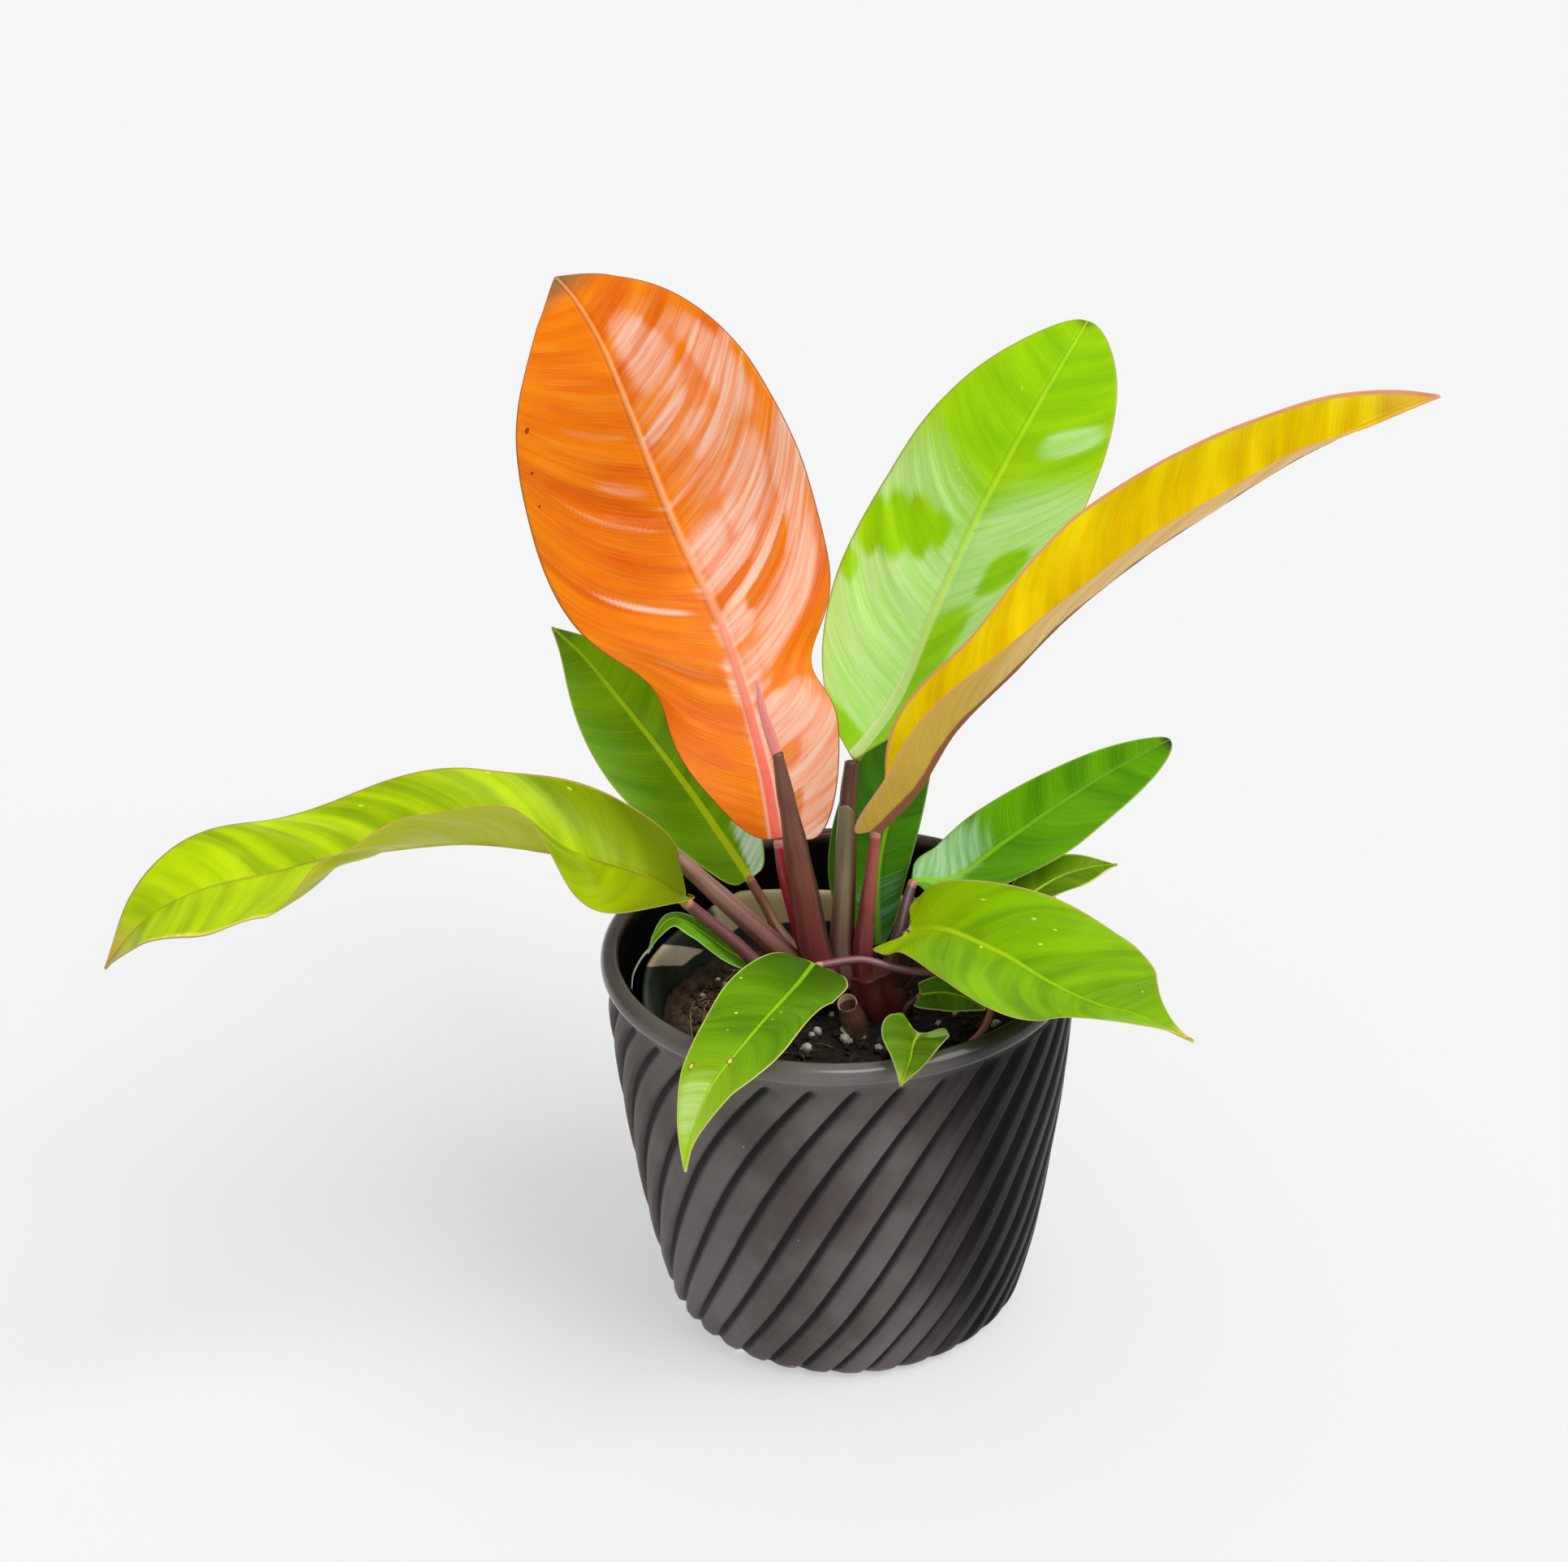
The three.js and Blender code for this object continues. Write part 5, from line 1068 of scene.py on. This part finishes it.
def makeLumps(name, x, y, size, squash, finish, seed, sink=0.3, fine=1):
    # each lump is the rounded shape with its corners moved, stretched, turned at random and sunk in the mix
    rng = np.random.default_rng(seed)
    corners, faces = lumpShape()
    for _ in range(fine):  # each pass splits every face in four and rounds it
        a, b, c = (faces[:, k] for k in range(3))
        edges = np.concatenate([np.stack([a, b], -1), np.stack([b, c], -1), np.stack([c, a], -1)])
        keys, back = np.unique(np.sort(edges, -1), axis=0, return_inverse=True)
        mids = unit(corners[keys].mean(1))
        ab, bc, ca = np.split(back.ravel() + len(corners), 3)
        corners = np.concatenate([corners, mids])
        parts = ((a, ab, ca), (ab, b, bc), (ca, bc, c), (ab, bc, ca))
        faces = np.concatenate([np.stack(part, -1) for part in parts])
    count = len(x)
    shape = corners[None] * (1 + 0.16 * rng.normal(size=(count, len(corners), 1)))
    shape = shape * (size[:, None] * (0.7 + 0.6 * rng.random((count, 3))) * np.array(squash))[:, None]
    yaw, tip = rng.random(count) * 2 * math.pi, rng.normal(size=count) * 0.35
    cy, sy, ct, st = np.cos(yaw), np.sin(yaw), np.cos(tip), np.sin(tip)
    zero, one = np.zeros(count), np.ones(count)
    spin = np.stack([cy, -sy, zero, sy, cy, zero, zero, zero, one], -1).reshape(-1, 3, 3)
    lean = np.stack([one, zero, zero, zero, ct, -st, zero, st, ct], -1).reshape(-1, 3, 3)
    shape = shape @ np.swapaxes(lean, 1, 2) @ np.swapaxes(spin, 1, 2)
    z = soilHeight(x, y) + size * squash[2] * (1 - 2 * sink) + 0.5
    points = shape + np.stack([x, y, z], -1)[:, None]
    numbers = faces[None] + (np.arange(count) * len(corners))[:, None, None]
    makePiece(name, points, [numbers.reshape(-1, 3)], finish)


def makeThreads(name, starts, finish, seed, length=9.0, radius=0.18, steps=12, sides=5):
    # each thread wanders over the mix: its heading is the running sum of small random turns
    rng = np.random.default_rng(seed)
    count = len(starts[0])
    turns = rng.random((count, 1)) * 2 * math.pi + np.cumsum(rng.normal(size=(count, steps)) * 0.35, 1)
    step = length / steps * (0.6 + 0.8 * rng.random((count, 1)))
    x = starts[0][:, None] + np.cumsum(np.cos(turns) * step, 1)
    y = starts[1][:, None] + np.cumsum(np.sin(turns) * step, 1)
    keep = 51.0 / np.maximum(np.hypot(x, y), 51.0)
    x, y = x * keep, y * keep
    arch = np.abs(np.sin(np.linspace(0, math.pi, steps)))[None] * rng.random((count, 1))
    z = soilHeight(x, y) + 0.7 + 0.9 * arch
    middle = np.stack([x, y, z], -1)
    heading = unit(np.gradient(middle, axis=1))
    b = unit(np.cross(heading, [0, 0, 1.0]))
    a = np.cross(b, heading)
    phi = roundTurn(sides)
    thin = radius * (1 - 0.75 * np.linspace(-1, 1, steps) ** 4) * (0.7 + 0.6 * rng.random((count, 1)))
    ring = a[:, :, None] * np.cos(phi)[:, None] + b[:, :, None] * np.sin(phi)[:, None]
    tubes = middle[:, :, None] + ring * thin[:, :, None, None]
    points = np.concatenate([tubes.reshape(count, -1, 3), middle[:, [0, -1]]], 1)
    first = (np.arange(count) * (steps * sides + 2))[:, None, None]
    faces = [(part[None, :, ::-1] + first).reshape(-1, part.shape[1]) for part in tubeFaces(steps, sides)]
    makePiece(name, points, faces, finish)


def plainFinish(name, first, second, rough, scale=300.0):
    # a two-tone mineral or woody finish with grain
    material, s, shader = newFinish(name, rough)
    here = s.here()
    grain = s.use(groups["grain"], Vector=here, Scale=scale * 8)
    s.put(shader["Base Color"], s.blend(s.drift(here, scale, 0.35, 0.65), first, second))
    s.put(shader["Normal"], s.bump(grain["Fine"], 0.5, 0.0004))
    return material


def dressSoil():
    # loose bits on the mix: crumbs, bark, perlite (the first ones where they show in front), roots and straw
    rng = np.random.default_rng(31)
    x, y = scatter(rng, soil["crumbs"])
    makeLumps("mix_crumbs", x, y, 0.5 + 1.1 * rng.random(len(x)) ** 2, (1, 1, 0.8),
              soilFinish("crumbMix", *soil["crumb"], False), 32, fine=0)
    x, y = scatter(rng, soil["bark"])
    makeLumps("bark_chips", x, y, 1.3 + 2.0 * rng.random(len(x)), (1, 0.6, 0.32),
              plainFinish("barkBrown", (46, 30, 20), (96, 68, 46), 0.85), 33, sink=0.1)
    seen = np.array([[1, -13], [7, -11], [33, -4], [42, -1], [52, -8], [-3, 2], [-10, -11], [-8, -9],
                     [12, -20], [-12, -22], [24, -30], [30, -24]], float)
    x, y = scatter(rng, soil["perlite"])
    x, y = np.r_[seen[:, 0], x], np.r_[seen[:, 1], y]
    makeLumps("perlite", x, y, 0.9 + 0.8 * rng.random(len(x)), (1, 0.9, 0.85),
              plainFinish("perliteWhite", (206, 204, 198), (242, 240, 236), 0.8, 500.0), 34,
              sink=-0.1, fine=2)
    roots = rng.normal(size=(soil["threads"], 2)) * [9, 13] + [-43, 6]
    makeThreads("root_threads", roots.T, plainFinish("rootTan", (150, 112, 74), (196, 164, 120), 0.7),
                35)
    makeThreads("straw_threads", scatter(rng, soil["straws"]),
                plainFinish("strawBrown", (110, 84, 58), (170, 140, 104), 0.75), 36,
                length=11.0, radius=0.22)


makeLiner()
makeSoil()
dressSoil()
print("nursery pot and mix made")


# floor, light and camera

studio = dict(floor=(184, 184, 184), shadeFloor=(178, 179, 180), glow=0.46, floorReach=9000,
              sky=(250, 251, 251), skyFill=0.5, skySeen=0.95, sun=1.9, sunAngle=45,
              sunFrom=(0.62, -0.3, 0.98), glint=5.0, glintSize=0.5, glintAt=(0.05, -0.75, 1.2))
# mm and degrees; the focal length is in pixels of an image of that width
view = dict(target=(-17.1, 0, 196.2), distance=900, elevation=27.5, roll=-1.54, focal=3421, imageWidth=1932,
            sensor=36)


def placeAt(name, data, at, back, roll=0.0):
    # an object at a place that looks away from the direction back
    thing = bpy.data.objects.new(name, data)
    bpy.context.collection.objects.link(thing)
    back = unit(np.array(back, float))
    side = unit(np.cross([0, 0, 1.0], back))
    rise = np.cross(back, side)
    right = math.cos(roll) * side + math.sin(roll) * rise
    up = math.cos(roll) * rise - math.sin(roll) * side
    turned = np.stack([right, up, back], 1)
    thing.matrix_world = Matrix([[*row, p] for row, p in zip(turned, at)] + [[0, 0, 0, 1]])
    return thing


def makeStudio():
    # a round pale floor that glows a little, a plain sky, a broad sun and a small lamp for the glints
    rim = polar(studio["floorReach"], roundTurn(96), 0.0)
    mesh = bpy.data.meshes.new("floor")
    mesh.from_pydata(np.vstack([rim, [0, 0, 0]]) * mm, [], fan(0, 96, 96).tolist())
    floor = bpy.data.objects.new("floor", mesh)
    bpy.context.collection.objects.link(floor)
    material, s, shader = newFinish("palePaper", 0.9, Specular_IOR_Level=0.0, Emission_Color=(1, 1, 1, 1),
                                    Emission_Strength=studio["glow"])
    patchy = s.drift(s.here(), 1.5, 0.2, 0.8)
    s.put(shader["Base Color"], s.blend(s.times(patchy, 0.5), studio["floor"], studio["shadeFloor"]))
    mesh.materials.append(material)
    world = bpy.data.worlds.new("studioSky")
    world.use_nodes = True
    bpy.context.scene.world = world
    s = Sketch(world.node_tree)
    sky = world.node_tree.nodes["Background"]
    s.put(sky.inputs["Color"], paint(*studio["sky"]))
    seen = s.add("ShaderNodeLightPath").outputs["Is Camera Ray"]
    s.put(sky.inputs["Strength"], s.span(seen, 0.0, 1.0, studio["skyFill"], studio["skySeen"]))
    sun = bpy.data.lights.new("sun", "SUN")
    sun.energy, sun.angle = studio["sun"], math.radians(studio["sunAngle"])
    placeAt("sun", sun, studio["sunFrom"], studio["sunFrom"])
    glint = bpy.data.lights.new("glint", "AREA")
    glint.shape, glint.size, glint.energy = "DISK", studio["glintSize"], studio["glint"]
    at = np.array(studio["glintAt"])
    placeAt("glint", glint, at, at - np.array([0, 0, 0.13])).visible_diffuse = False


def makeCamera():
    # the camera looks at the target from the front, raised by its elevation and turned by its roll
    lift = math.radians(view["elevation"])
    back = np.array([0, -math.cos(lift), math.sin(lift)])
    at = (np.array(view["target"]) + view["distance"] * back) * mm
    camera = placeAt("camera", bpy.data.cameras.new("camera"), at, back, math.radians(view["roll"]))
    camera.data.sensor_width = view["sensor"]
    camera.data.lens = view["sensor"] * view["focal"] / view["imageWidth"]
    camera.data.clip_start, camera.data.clip_end = 0.01, 50
    bpy.context.scene.camera = camera
    bpy.context.scene.view_settings.view_transform = "Standard"


makeStudio()
makeCamera()
print("studio ready")
